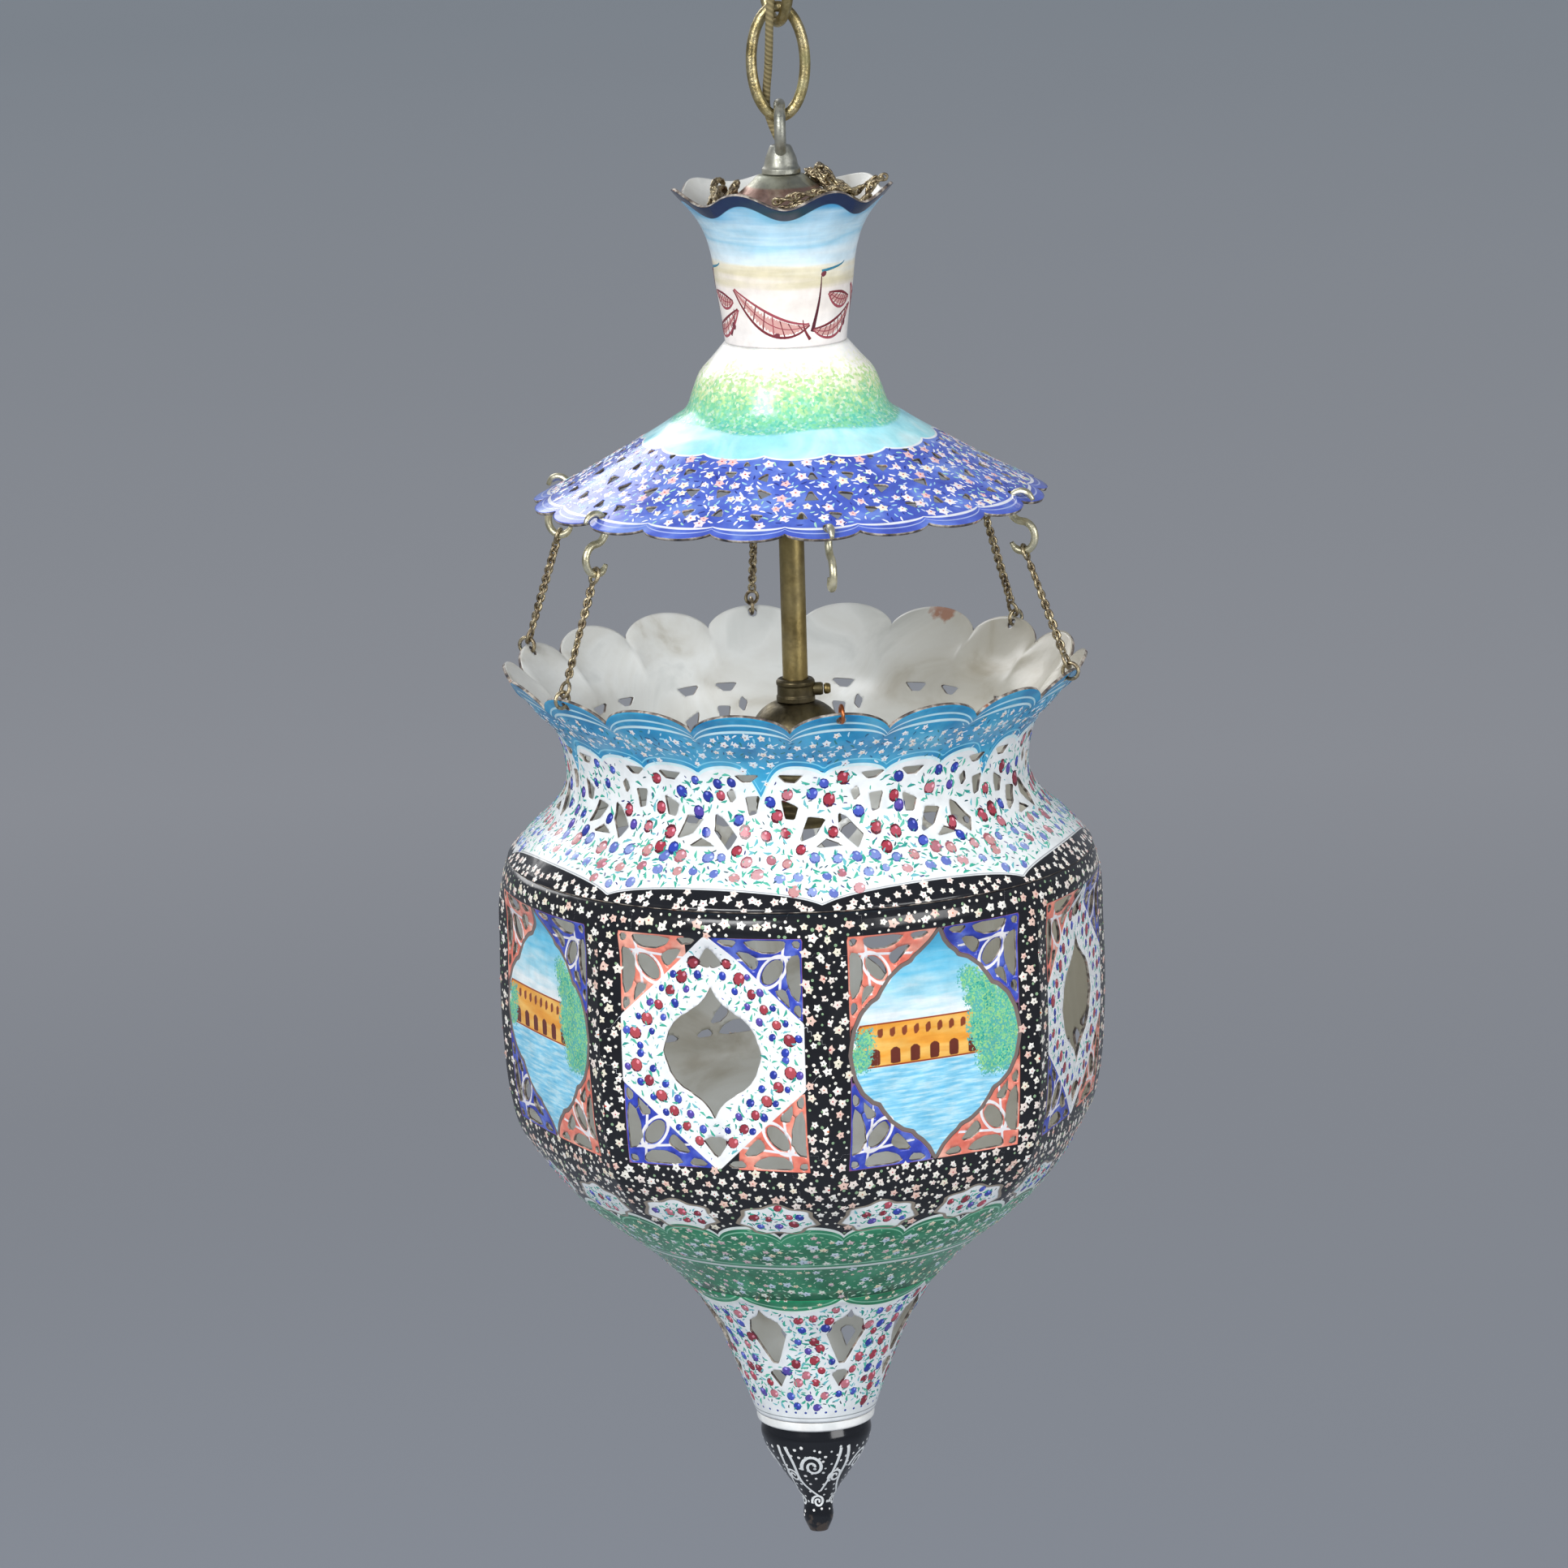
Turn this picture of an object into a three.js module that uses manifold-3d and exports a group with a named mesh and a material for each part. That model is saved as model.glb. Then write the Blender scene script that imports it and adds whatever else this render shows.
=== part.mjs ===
// Enamel chandelier: a pierced and painted copper lamp on a short brass chain.
// Millimetres, +Z up. The origin is the centre of the ceiling plate's flat top face.
// The lamp faces -Y. Angles round it are counted from the front, positive towards +X.

import * as THREE from 'three';
import { mergeVertices } from 'three/addons/utils/BufferGeometryUtils.js';
import Module from 'manifold-3d';

const wasm = await Module();
wasm.setup();

// Clearances
const seatGap = 0.3;
const lapGap = 0.9;
const holeGap = 0.5;

// Ceiling plate and its hook
const plateRadius = 35;
const plateThick = 6;
const plateEdge = 2.2;
const plateFoot = 27;
const plateSkin = 1.5;
const hookWire = 5;
const hookRadius = 10.5;
const hookDrop = 24.25;
const cordHole = { x: 4, y: 12, radius: 2.3 };
const plateScrew = { reach: 21, shank: 1.9, head: 3.8, headThick: 2.4 };

// Suspension chain: two oval links
const linkWire = 4.3;
const linkHalfWidth = 10.45;
const linkHalfHeight = 21.5;
const upperLinkTurn = -60;
const crossingRise = 1.25;
const chainGap = 0.5;

// Hanging loop and its screw collar
const loopWire = 4.5;
const loopHalfWidth = 8;
const loopHalfHeight = 9.6;
const loopSink = 1;
const collarHeight = 11;
const collarTopRadius = 3.9;
const flangeRadius = 7.6;
const flangeThick = 2;

// Flex and stem pipe
const flexRadius = 1.6;
const pipeRadius = 5;
const pipeBore = 3.4;
const threadDepth = 5.5;

// Sheet: hammered copper with its enamel
const wall = 1.2;
const holderWall = 1;

// Heights on the lamp itself are counted from a level in the bowl's neck
const collarBase = 244;
const crownRimHeight = 237.5;
const waistHeight = 178.5;
const brimHeight = 117.5;
const bowlRimHeight = 47;
const shoulderHeight = -25.5;
const ridgeHeight = -198;
const coneFootHeight = -257.5;

// Radii of the enamelled shells
const crownRimRadius = 42.5;
const waistRadius = 23.9;
const brimRadius = 99.5;
const bowlRimRadius = 113.5;
const neckRadius = 91.9;
const bellyRadius = 120.9;
const shoulderRadius = bellyRadius - 4.5;
const ridgeRadius = 53.4;
const coneFootRadius = 24.3;

// Waves and scallops of the rims
const crownLobes = { count: 7, first: -24, rise: 3.2, reach: 1.6, band: 14 };
const brimLobes = { count: 21, first: 7.1, rise: -0.9, reach: 2.2, band: 8 };
const bowlLobes = { count: 18, first: 8.6, rise: 3.8, reach: 2.4, band: 12 };
const bellySides = 8;
const bellyCorner = 4;
const bellyFlatness = 0.8;

// Hooks, fine chains and rings between the brim and the bowl
const hangerCount = 6;
const hangerFirst = 8.6;
const sWire = 2.3;
const sHalfWidth = 5.1;
const sHalfHeight = 5.9;
const sTurn = 245;
const sStrip = 2.6;
const sHoleRadius = 2.2;
const ringWire = 1.5;
const ringRadius = 3.2;
const rimHoleRadius = 2;
const rimHoleInset = 4;
const rimHoleGap = 0.6;
const eyeWire = 1.5;
const eyeRadius = 3;
const chainWidth = 4.4;
const chainTwist = 2.5;

// Lampholder
const clampHeight = 9;
const clampRadius = 7.7;
const clampFoot = 34;
const domeRadius = 18.2;
const domeHeight = 17.5;
const shellDrop = 31;
const insulatorThick = 8;
const screwShellRadius = 13.8;
const screwShellDrop = 16.5;
const contactRadius = 3;

// Finial and what holds it
const footThick = 4.2;
const studRadius = 2;
const studLength = 26;
const finialHeight = 47.5;
const finialRadius = 22.4;

// Finishes
const finish = {
  brass: { color: 0xb39a5e, roughness: 0.4, metalness: 1 },
  agedBrass: { color: 0x7a6a42, roughness: 0.5, metalness: 1 },
  darkBronze: { color: 0x6b5232, roughness: 0.5, metalness: 1 },
  nickel: { color: 0xa7aca6, roughness: 0.4, metalness: 1 },
  copper: { color: 0xa0705a, roughness: 0.5, metalness: 1 },
  skyEnamel: { color: 0x9fd0e8, roughness: 0.15, metalness: 0 },
  blueEnamel: { color: 0x4a55c8, roughness: 0.15, metalness: 0 },
  whiteEnamel: { color: 0xe8ecf0, roughness: 0.15, metalness: 0 },
  blackEnamel: { color: 0x15161c, roughness: 0.12, metalness: 0 },
  flex: { color: 0x8a7a3c, roughness: 0.6, metalness: 0 },
  porcelain: { color: 0xe6e2d6, roughness: 0.3, metalness: 0 },
  steel: { color: 0x8d8f92, roughness: 0.4, metalness: 1 },
};

const toRad = THREE.MathUtils.degToRad;
const lerp = THREE.MathUtils.lerp;
const smoothstep = THREE.MathUtils.smoothstep;

const chandelier = new THREE.Group();
const lamp = new THREE.Group();
chandelier.add(lamp);

// A point at an angle, radius and height round the lamp's axis
function round(angle, radius, height) {
  return new THREE.Vector3(radius * Math.sin(toRad(angle)), -radius * Math.cos(toRad(angle)), height);
}

function addPiece(parent, name, geometry, look) {
  geometry.computeVertexNormals();
  const mesh = new THREE.Mesh(geometry, new THREE.MeshStandardMaterial(finish[look]));
  mesh.name = name;
  parent.add(mesh);
  return mesh;
}

// Solids that can be joined and cut
function toSolid(geometry) {
  const bare = new THREE.BufferGeometry();
  bare.setAttribute('position', geometry.getAttribute('position').clone());
  if (geometry.index) {
    bare.setIndex(geometry.index.clone());
  }
  const merged = mergeVertices(bare, 1e-4);
  return new wasm.Manifold(new wasm.Mesh({
    numProp: 3,
    vertProperties: new Float32Array(merged.attributes.position.array),
    triVerts: new Uint32Array(merged.index.array),
  }));
}

function fromSolid(solid) {
  const mesh = solid.getMesh();
  const geometry = new THREE.BufferGeometry();
  geometry.setAttribute('position', new THREE.BufferAttribute(mesh.vertProperties, 3));
  geometry.setIndex(new THREE.BufferAttribute(mesh.triVerts, 1));
  return geometry;
}

function join(...geometries) {
  return fromSolid(geometries.map(toSolid).reduce((all, next) => all.add(next)));
}

function cut(geometry, cutters) {
  return fromSolid(cutters.map(toSolid).reduce((left, next) => left.subtract(next), toSolid(geometry)));
}

// A turned form: points are [radius, height], with the outer side going up
function turned(points, segments, firstAngle = 0) {
  const profile = points.map(([radius, height]) => new THREE.Vector2(radius, height));
  return new THREE.LatheGeometry(profile, segments).rotateX(Math.PI / 2).rotateZ(toRad(firstAngle));
}

function turnedRing(points, segments, firstAngle = 0) {
  return turned([...points, points[0]], segments, firstAngle);
}

// The inner side of a sheet whose outer side goes up through the points
function insideOf(outline, thick) {
  return outline.map((point, i) => {
    const before = outline[Math.max(i - 1, 0)];
    const after = outline[Math.min(i + 1, outline.length - 1)];
    const along = new THREE.Vector2(after[0] - before[0], after[1] - before[1]).normalize();
    return [point[0] - along.y * thick, point[1] + along.x * thick];
  });
}

function sheet(outline, thick, segments, firstAngle = 0) {
  return turnedRing([...outline, ...insideOf(outline, thick).reverse()], segments, firstAngle);
}

// Reads a rising outline at a height, or its height at a radius
function radiusAt(outline, height) {
  const i = Math.max(1, outline.findIndex((point) => point[1] >= height));
  const [low, high] = [outline[i - 1], outline[i]];
  return lerp(low[0], high[0], (height - low[1]) / (high[1] - low[1]));
}

function heightAt(outline, radius) {
  const i = outline.findIndex((point, n) => n > 0 && (point[0] - radius) * (outline[n - 1][0] - radius) <= 0);
  const [low, high] = [outline[i - 1], outline[i]];
  return lerp(low[1], high[1], (radius - low[0]) / (high[0] - low[0]));
}

// Moves every point of a turned form by its angle, radius and height
function reshape(geometry, move) {
  const position = geometry.getAttribute('position');
  for (let i = 0; i < position.count; i += 1) {
    const angle = THREE.MathUtils.radToDeg(Math.atan2(position.getX(i), -position.getY(i)));
    const radius = Math.hypot(position.getX(i), position.getY(i));
    const [newRadius, newHeight] = move(angle, radius, position.getZ(i));
    const point = round(angle, newRadius, newHeight);
    position.setXYZ(i, point.x, point.y, point.z);
  }
  return geometry;
}

// Round lobes with sharp notches: 1 at a lobe's middle, 0 at a notch
function lobe(lobes, angle) {
  const step = 360 / lobes.count;
  const turns = (angle - lobes.first) / step;
  const across = 2 * Math.abs(turns - Math.round(turns));
  return (Math.sqrt(1 - 0.9 * across * across) - Math.sqrt(0.1)) / (1 - Math.sqrt(0.1));
}

function wave(lobes, angle) {
  return 0.5 + 0.5 * Math.cos(toRad((angle - lobes.first) * lobes.count));
}

function rimShift(lobes, shape, angle) {
  const size = 2 * shape(lobes, angle) - 1;
  return { outward: lobes.reach * size, up: lobes.rise * size };
}

// A prism through a wall: the shape stands at an angle and height, facing along the wall's normal
function through(shape, angle, radius, height, tilt, depth) {
  const outward = round(angle, 1, 0);
  const normal = outward.clone().multiplyScalar(Math.cos(toRad(tilt)));
  normal.z = Math.sin(toRad(tilt));
  const across = new THREE.Vector3(Math.cos(toRad(angle)), Math.sin(toRad(angle)), 0);
  const up = normal.clone().cross(across);
  const geometry = new THREE.ExtrudeGeometry(shape, { depth, bevelEnabled: false });
  geometry.translate(0, 0, -depth / 2);
  geometry.applyMatrix4(new THREE.Matrix4().makeBasis(across, up, normal));
  const place = round(angle, radius, height);
  return geometry.translate(place.x, place.y, place.z);
}

function polygon(points) {
  return new THREE.Shape(points.map(([x, y]) => new THREE.Vector2(x, y)));
}

// A hole as a regular polygon
function disc(radius, sides) {
  const corners = Array.from({ length: sides }, (_, i) => (2 * Math.PI * i) / sides);
  return polygon(corners.map((turn) => [radius * Math.cos(turn), radius * Math.sin(turn)]));
}

// Round wire along an open curve
function wireAlong(curve, radius, steps, sides) {
  return new THREE.ExtrudeGeometry(disc(radius, sides), {
    extrudePath: curve,
    steps,
    bevelEnabled: false,
  });
}

// Round wire along a closed curve in one plane
function wireRing(pointAt, normal, radius, steps, sides) {
  const positions = [];
  const index = [];
  for (let i = 0; i < steps; i += 1) {
    const centre = pointAt((2 * Math.PI * i) / steps);
    const along = pointAt((2 * Math.PI * (i + 0.01)) / steps);
    along.sub(pointAt((2 * Math.PI * (i - 0.01)) / steps)).normalize();
    const side = along.clone().cross(normal);
    for (let k = 0; k < sides; k += 1) {
      const turn = (2 * Math.PI * k) / sides;
      const point = centre.clone().addScaledVector(side, radius * Math.cos(turn));
      point.addScaledVector(normal, radius * Math.sin(turn));
      positions.push(point.x, point.y, point.z);
      const next = i * sides + ((k + 1) % sides);
      const over = ((i + 1) % steps) * sides;
      index.push(i * sides + k, over + k, next);
      index.push(next, over + k, over + ((k + 1) % sides));
    }
  }
  const geometry = new THREE.BufferGeometry();
  geometry.setAttribute('position', new THREE.Float32BufferAttribute(positions, 3));
  geometry.setIndex(index);
  return geometry;
}

// Ceiling plate with a blind hole for the hook and a hole for the flex
const plateProfile = [
  [0, -plateSkin],
  [hookWire / 2 + seatGap, -plateSkin],
  [hookWire / 2 + seatGap, -plateThick],
  [plateFoot, -plateThick],
  [plateRadius, -plateEdge],
  [plateRadius, 0],
  [0, 0],
];
function plateHole(x, y, radius) {
  const hole = new THREE.CylinderGeometry(radius, radius, 3 * plateThick, 10);
  return hole.rotateX(Math.PI / 2).translate(x, y, 0);
}

const screwReaches = [-plateScrew.reach, plateScrew.reach];
const plateHoles = screwReaches.map((x) => plateHole(x, 0, plateScrew.shank + 2 * seatGap));
plateHoles.push(plateHole(cordHole.x, cordHole.y, cordHole.radius));
addPiece(chandelier, 'ceiling_plate', cut(turned(plateProfile, 32), plateHoles), 'brass');

// The plate's two round-headed screws
const headTop = -plateThick - seatGap;
const plateScrewProfile = [
  [0, headTop - plateScrew.headThick],
  [0.6 * plateScrew.head, headTop - plateScrew.headThick],
  [plateScrew.head, headTop - 0.4 * plateScrew.headThick],
  [plateScrew.head, headTop],
  [plateScrew.shank, headTop],
  [plateScrew.shank, -seatGap],
  [0, -seatGap],
];
screwReaches.forEach((x, i) => {
  const screw = addPiece(chandelier, `ceiling_screw_${i + 1}`, turned(plateScrewProfile, 10), 'brass');
  screw.position.x = x;
});

// Ceiling hook: a shank and most of a circle, square to the upper link
const upperAcross = new THREE.Vector3(Math.cos(toRad(upperLinkTurn)), Math.sin(toRad(upperLinkTurn)), 0);
const hookAcross = new THREE.Vector3(-upperAcross.y, upperAcross.x, 0);
const hookPoints = [
  new THREE.Vector3(0, 0, -plateSkin - seatGap),
  new THREE.Vector3(0, 0, (-plateThick - hookDrop + hookRadius) / 2),
  new THREE.Vector3(0, 0, -hookDrop + hookRadius + 1),
];
for (let turn = 130; turn <= 385; turn += 25.5) {
  const point = hookAcross.clone().multiplyScalar(hookRadius * Math.cos(toRad(turn)));
  point.z = -hookDrop + hookRadius * Math.sin(toRad(turn));
  hookPoints.push(point);
}
const hookCurve = new THREE.CatmullRomCurve3(hookPoints, false, 'centripetal');
addPiece(chandelier, 'ceiling_hook', wireAlong(hookCurve, hookWire / 2, 26, 8), 'brass');

// Levels of the chain, from the hook down to the loop
const hookBottom = -hookDrop - hookRadius;
const upperLinkTop = hookBottom + (hookWire + linkWire) / 2 + chainGap;
const upperLinkBottom = upperLinkTop - 2 * linkHalfHeight;
const lowerLinkTop = upperLinkBottom + linkWire + chainGap + crossingRise;
const lowerLinkBottom = lowerLinkTop - 2 * linkHalfHeight;
const loopTop = lowerLinkBottom + (linkWire + loopWire) / 2 + chainGap;
const loopTopHeight = collarBase + collarHeight - loopWire / 2 - loopSink + 2 * loopHalfHeight;
lamp.position.z = loopTop - loopTopHeight;

function linkGeometry(top, across) {
  const middle = top - linkHalfHeight;
  const normal = new THREE.Vector3(-across.y, across.x, 0);
  const pointAt = (turn) => {
    const point = across.clone().multiplyScalar(linkHalfWidth * Math.sin(turn));
    point.z = middle + linkHalfHeight * Math.cos(turn);
    return point;
  };
  return wireRing(pointAt, normal, linkWire / 2, 24, 8);
}

addPiece(chandelier, 'chain_link_upper', linkGeometry(upperLinkTop, upperAcross), 'brass');
addPiece(chandelier, 'chain_link_lower', linkGeometry(lowerLinkTop, new THREE.Vector3(1, 0, 0)), 'brass');

// Hanging loop cast with its screw collar, bored for the flex and for the pipe's thread
const collarTop = collarBase + collarHeight;
const collarProfile = [
  [0, collarBase],
  [flangeRadius, collarBase],
  [flangeRadius, collarBase + flangeThick],
  [flangeRadius - 0.6, collarBase + flangeThick + 0.6],
  [flangeRadius - 1.5, collarBase + 0.55 * collarHeight],
  [collarTopRadius + 0.6, collarTop - 1],
  [collarTopRadius, collarTop],
  [0, collarTop],
];
const loopMiddle = loopTopHeight - loopHalfHeight;
const loopAt = (turn) => new THREE.Vector3(
  0,
  loopHalfWidth * Math.sin(turn),
  loopMiddle + loopHalfHeight * Math.cos(turn),
);
const loopRing = wireRing(loopAt, new THREE.Vector3(-1, 0, 0), loopWire / 2, 20, 8);
const cordBore = new THREE.CylinderGeometry(flexRadius + holeGap, flexRadius + holeGap, collarHeight + 6, 10);
cordBore.rotateX(Math.PI / 2).translate(0, 0, collarBase + collarHeight / 2 + 2);
const threadBore = new THREE.CylinderGeometry(pipeRadius + seatGap, pipeRadius + seatGap, 2 * threadDepth, 16);
threadBore.rotateX(Math.PI / 2).translate(0, 0, collarBase);
const hangingLoop = cut(join(turned(collarProfile, 16), loopRing), [cordBore, threadBore]);
addPiece(lamp, 'hanging_loop', hangingLoop, 'nickel');

// Shade: the domed shoulder and the wide scalloped brim
const shadeOutline = [
  [brimRadius, brimHeight],
  [brimRadius - 9.5, brimHeight + 4.6],
  [brimRadius - 33.5, brimHeight + 18.2],
  [waistRadius + 22.1, waistHeight - 30.5],
  [waistRadius + 16.4, waistHeight - 26.5],
  [waistRadius + 13.3, waistHeight - 19],
  [waistRadius + 10.4, waistHeight - 12],
  [waistRadius + 5.6, waistHeight - 6.5],
  [waistRadius, waistHeight],
];
const shadeInside = insideOf(shadeOutline, wall);

// Support disc on which the crown and the shade stand
const supportRadius = 27.2;
const supportThick = 2;
const supportTop = heightAt(shadeInside, supportRadius + seatGap) - seatGap;
const supportProfile = [
  [pipeRadius + seatGap, supportTop - supportThick],
  [supportRadius, supportTop - supportThick],
  [supportRadius, supportTop],
  [pipeRadius + seatGap, supportTop],
];
addPiece(lamp, 'support_disc', turnedRing(supportProfile, 24), 'copper');

// Crown: the flared mouth and neck of the bell, its sleeve tucked into the shade
const crownOutline = [
  [waistRadius, waistHeight + seatGap],
  [waistRadius + 1, waistHeight + 9],
  [waistRadius + 3, waistHeight + 22],
  [waistRadius + 4.9, waistHeight + 36],
  [waistRadius + 6.6, crownRimHeight - 17],
  [crownRimRadius - 9.4, crownRimHeight - 11.5],
  [crownRimRadius, crownRimHeight],
];
const crownInside = insideOf(crownOutline, wall);
const sleeveRadius = waistRadius - wall - seatGap;
const crownProfile = [
  [sleeveRadius - wall, supportTop + seatGap],
  [sleeveRadius, supportTop + seatGap],
  [sleeveRadius, waistHeight + seatGap],
  ...crownOutline,
  ...crownInside.slice(1).reverse(),
];

function waveRim(lobes, shape, rimHeight) {
  return (angle, radius, height) => {
    const share = smoothstep(height, rimHeight - lobes.band, rimHeight);
    const shift = rimShift(lobes, shape, angle);
    return [radius + share * shift.outward, height + share * shift.up];
  };
}

const crownBlank = turnedRing(crownProfile, 5 * crownLobes.count, crownLobes.first);
addPiece(lamp, 'crown', reshape(crownBlank, waveRim(crownLobes, wave, crownRimHeight)), 'skyEnamel');

// Cap: a spun copper cone under the collar that presses on the crown's inside
const capEdge = 29.4;
const capEdgeHeight = heightAt(crownInside, capEdge + seatGap) + 0.7 * wall;
const capTop = collarBase - seatGap;
const capOutline = [
  [capEdge, capEdgeHeight],
  [capEdge - 4.2, lerp(capEdgeHeight, capTop, 0.32)],
  [flangeRadius + 4.4, lerp(capEdgeHeight, capTop, 0.87)],
  [flangeRadius + 1.4, capTop],
  [pipeRadius + seatGap, capTop],
];
addPiece(lamp, 'crown_cap', sheet(capOutline, wall, 20), 'copper');

// The brim's waves reach down its slope, so they are counted by radius
function brimShift(angle, radius) {
  const share = smoothstep(radius, brimRadius - brimLobes.band, brimRadius - wall);
  const shift = rimShift(brimLobes, lobe, angle);
  return { outward: share * shift.outward, up: share * shift.up };
}

const brimPiercing = polygon([[-3.2, -3.4], [3.4, -2.8], [0.3, 4]]);
const shadeCutters = [];
for (let i = 0; i < brimLobes.count; i += 1) {
  const radius = brimRadius - (i % 2 ? 15.5 : 25.5);
  const height = heightAt(shadeOutline, radius);
  const angle = brimLobes.first + (360 / brimLobes.count) * i;
  shadeCutters.push(through(brimPiercing, angle, radius, height, 60, 12));
}

// Hangers: the hooks sit over the brim's edge, each through its own hole
const hangerAngles = Array.from({ length: hangerCount }, (_, i) => hangerFirst + (360 / hangerCount) * i);
const brimSlope = (shadeOutline[1][1] - brimHeight) / (brimRadius - shadeOutline[1][0]);

function hangerSeat(angle) {
  const radius = brimRadius + brimShift(angle, brimRadius).outward - sStrip;
  const surface = brimHeight + (brimRadius - radius) * brimSlope;
  return { radius, surface, loopMiddle: surface + 1.2 - sHalfHeight + sWire / 2 + seatGap };
}

for (const angle of hangerAngles) {
  const seat = hangerSeat(angle);
  const radius = seat.radius - 3.6;
  const height = seat.surface + 3.6 * brimSlope - wall / 2;
  shadeCutters.push(through(disc(sHoleRadius, 10), angle, radius, height, 62, 8));
}
const brimCusp = brimLobes.first + 180 / brimLobes.count;
const shadeBlank = sheet(shadeOutline, wall, 3 * brimLobes.count, brimCusp);
const shadeForm = reshape(shadeBlank, (angle, radius, height) => {
  const shift = brimShift(angle, radius);
  return [radius + shift.outward, height + shift.up];
});
addPiece(lamp, 'shade', cut(shadeForm, shadeCutters), 'blueEnamel');

// Locknut under the support disc, and the stem pipe
const nutThick = 5;
const nutShape = disc(9, 6);
nutShape.holes.push(new THREE.Path().absarc(0, 0, pipeRadius + seatGap, 0, 2 * Math.PI, true));
const nut = new THREE.ExtrudeGeometry(nutShape, { depth: nutThick, bevelEnabled: false, curveSegments: 8 });
nut.translate(0, 0, supportTop - supportThick - seatGap - nutThick);
addPiece(lamp, 'pipe_locknut', nut, 'agedBrass');

const pipeTop = collarBase + threadDepth - seatGap;
const pipeFoot = clampFoot - 3;
const pipeProfile = [[pipeBore, pipeFoot], [pipeRadius, pipeFoot], [pipeRadius, pipeTop], [pipeBore, pipeTop]];
addPiece(lamp, 'stem_pipe', turnedRing(pipeProfile, 16), 'agedBrass');

// Lampholder: clamp collar with its ears, set screw, dome, shell and what is inside
const clampTop = clampFoot + clampHeight;
const clampProfile = [
  [pipeRadius + seatGap, clampFoot],
  [clampRadius, clampFoot],
  [clampRadius, clampTop - 1.5],
  [clampRadius - 0.8, clampTop],
  [pipeRadius + seatGap, clampTop],
];
const earReach = 3.2;
const ear = new THREE.CylinderGeometry(2.6, 2.6, earReach + 2, 10).rotateZ(Math.PI / 2);
const clampMiddle = clampFoot + clampHeight / 2;
ear.translate(clampRadius + (earReach - 2) / 2, 0, clampMiddle);
const screwRadius = 1.3;
const screwHole = new THREE.CylinderGeometry(screwRadius + seatGap, screwRadius + seatGap, 12, 10);
screwHole.rotateZ(Math.PI / 2).translate(clampRadius + 3, 0, clampMiddle);
addPiece(lamp, 'lampholder_clamp', cut(join(turnedRing(clampProfile, 24), ear), [screwHole]), 'agedBrass');

const screwStart = pipeRadius + seatGap;
const screwEnd = clampRadius + earReach + 3;
const screwProfile = [
  [0, screwStart],
  [screwRadius, screwStart],
  [screwRadius, screwEnd - 2],
  [2.2, screwEnd - 2],
  [2.2, screwEnd],
  [0, screwEnd],
];
const setScrew = turned(screwProfile, 10).rotateY(Math.PI / 2).translate(0, 0, clampMiddle);
addPiece(lamp, 'set_screw', setScrew, 'agedBrass');

const domeTop = clampFoot - seatGap;
const domeFoot = domeTop - domeHeight;
const domeOutline = [
  [domeRadius, domeFoot],
  [domeRadius - 0.2, domeFoot + 0.35 * domeHeight],
  [domeRadius - 2.6, domeFoot + 0.72 * domeHeight],
  [domeRadius - 6.2, domeFoot + 0.92 * domeHeight],
  [clampRadius, domeTop],
  [pipeRadius + seatGap, domeTop],
];
addPiece(lamp, 'lampholder_dome', sheet(domeOutline, holderWall, 20), 'agedBrass');

const shellRadius = domeRadius - holderWall - seatGap;
const shellTop = domeFoot + 4;
const shellFoot = domeFoot - shellDrop;
const shellProfile = [
  [shellRadius - holderWall, shellFoot],
  [shellRadius, shellFoot],
  [shellRadius, shellTop],
  [shellRadius - holderWall, shellTop],
];
addPiece(lamp, 'lampholder_shell', turnedRing(shellProfile, 20), 'agedBrass');

const insulatorRadius = shellRadius - holderWall - seatGap;
const insulatorTop = shellTop - 4;
const insulatorFoot = insulatorTop - insulatorThick;
const insulatorProfile = [
  [0, insulatorFoot],
  [insulatorRadius, insulatorFoot],
  [insulatorRadius, insulatorTop - 1],
  [insulatorRadius - 1, insulatorTop],
  [0, insulatorTop],
];
addPiece(lamp, 'holder_insulator', turned(insulatorProfile, 20), 'porcelain');

const threadWall = 0.6;
const threadWave = 0.8;
const threadTurns = 2;
const screwShellTop = insulatorFoot - seatGap - 0.1;
const threadOutline = [];
for (let i = 0; i <= 2 * threadTurns; i += 1) {
  const height = screwShellTop - screwShellDrop + (screwShellDrop * i) / (2 * threadTurns);
  threadOutline.push([screwShellRadius - (i % 2 ? threadWave : 0), height]);
}
addPiece(lamp, 'screw_shell', sheet(threadOutline, threadWall, 18), 'brass');

const contactProfile = [
  [0, screwShellTop - 3.2],
  [contactRadius - 0.8, screwShellTop - 3.2],
  [contactRadius, screwShellTop - 2.4],
  [contactRadius, screwShellTop],
  [0, screwShellTop],
];
addPiece(lamp, 'centre_contact', turned(contactProfile, 12), 'brass');

// Bowl neck: the scalloped collar, its waist and the shoulder, pierced all round
const neckHeight = 9;
const neckOutline = [
  [shoulderRadius, shoulderHeight + seatGap],
  [lerp(neckRadius, shoulderRadius, 0.665), shoulderHeight + 9.5],
  [lerp(neckRadius, shoulderRadius, 0.26), neckHeight - 16],
  [neckRadius + 0.6, neckHeight - 6],
  [neckRadius + 0.5, neckHeight + 7],
  [neckRadius + 4, bowlRimHeight - 20],
  [bowlRimRadius - 8.8, bowlRimHeight - 9.5],
  [bowlRimRadius, bowlRimHeight],
];
const neckInside = insideOf(neckOutline, wall);
const lapDepth = 4.5;
const lapRadius = shoulderRadius - wall - lapGap;
const neckProfile = [
  [lapRadius - wall, shoulderHeight - lapDepth],
  [lapRadius, shoulderHeight - lapDepth],
  [lapRadius, shoulderHeight + seatGap],
  ...neckOutline,
  ...neckInside.slice(1).reverse(),
];
const neckBlank = turnedRing(neckProfile, 3 * bowlLobes.count, bowlLobes.first + 180 / bowlLobes.count);
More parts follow.
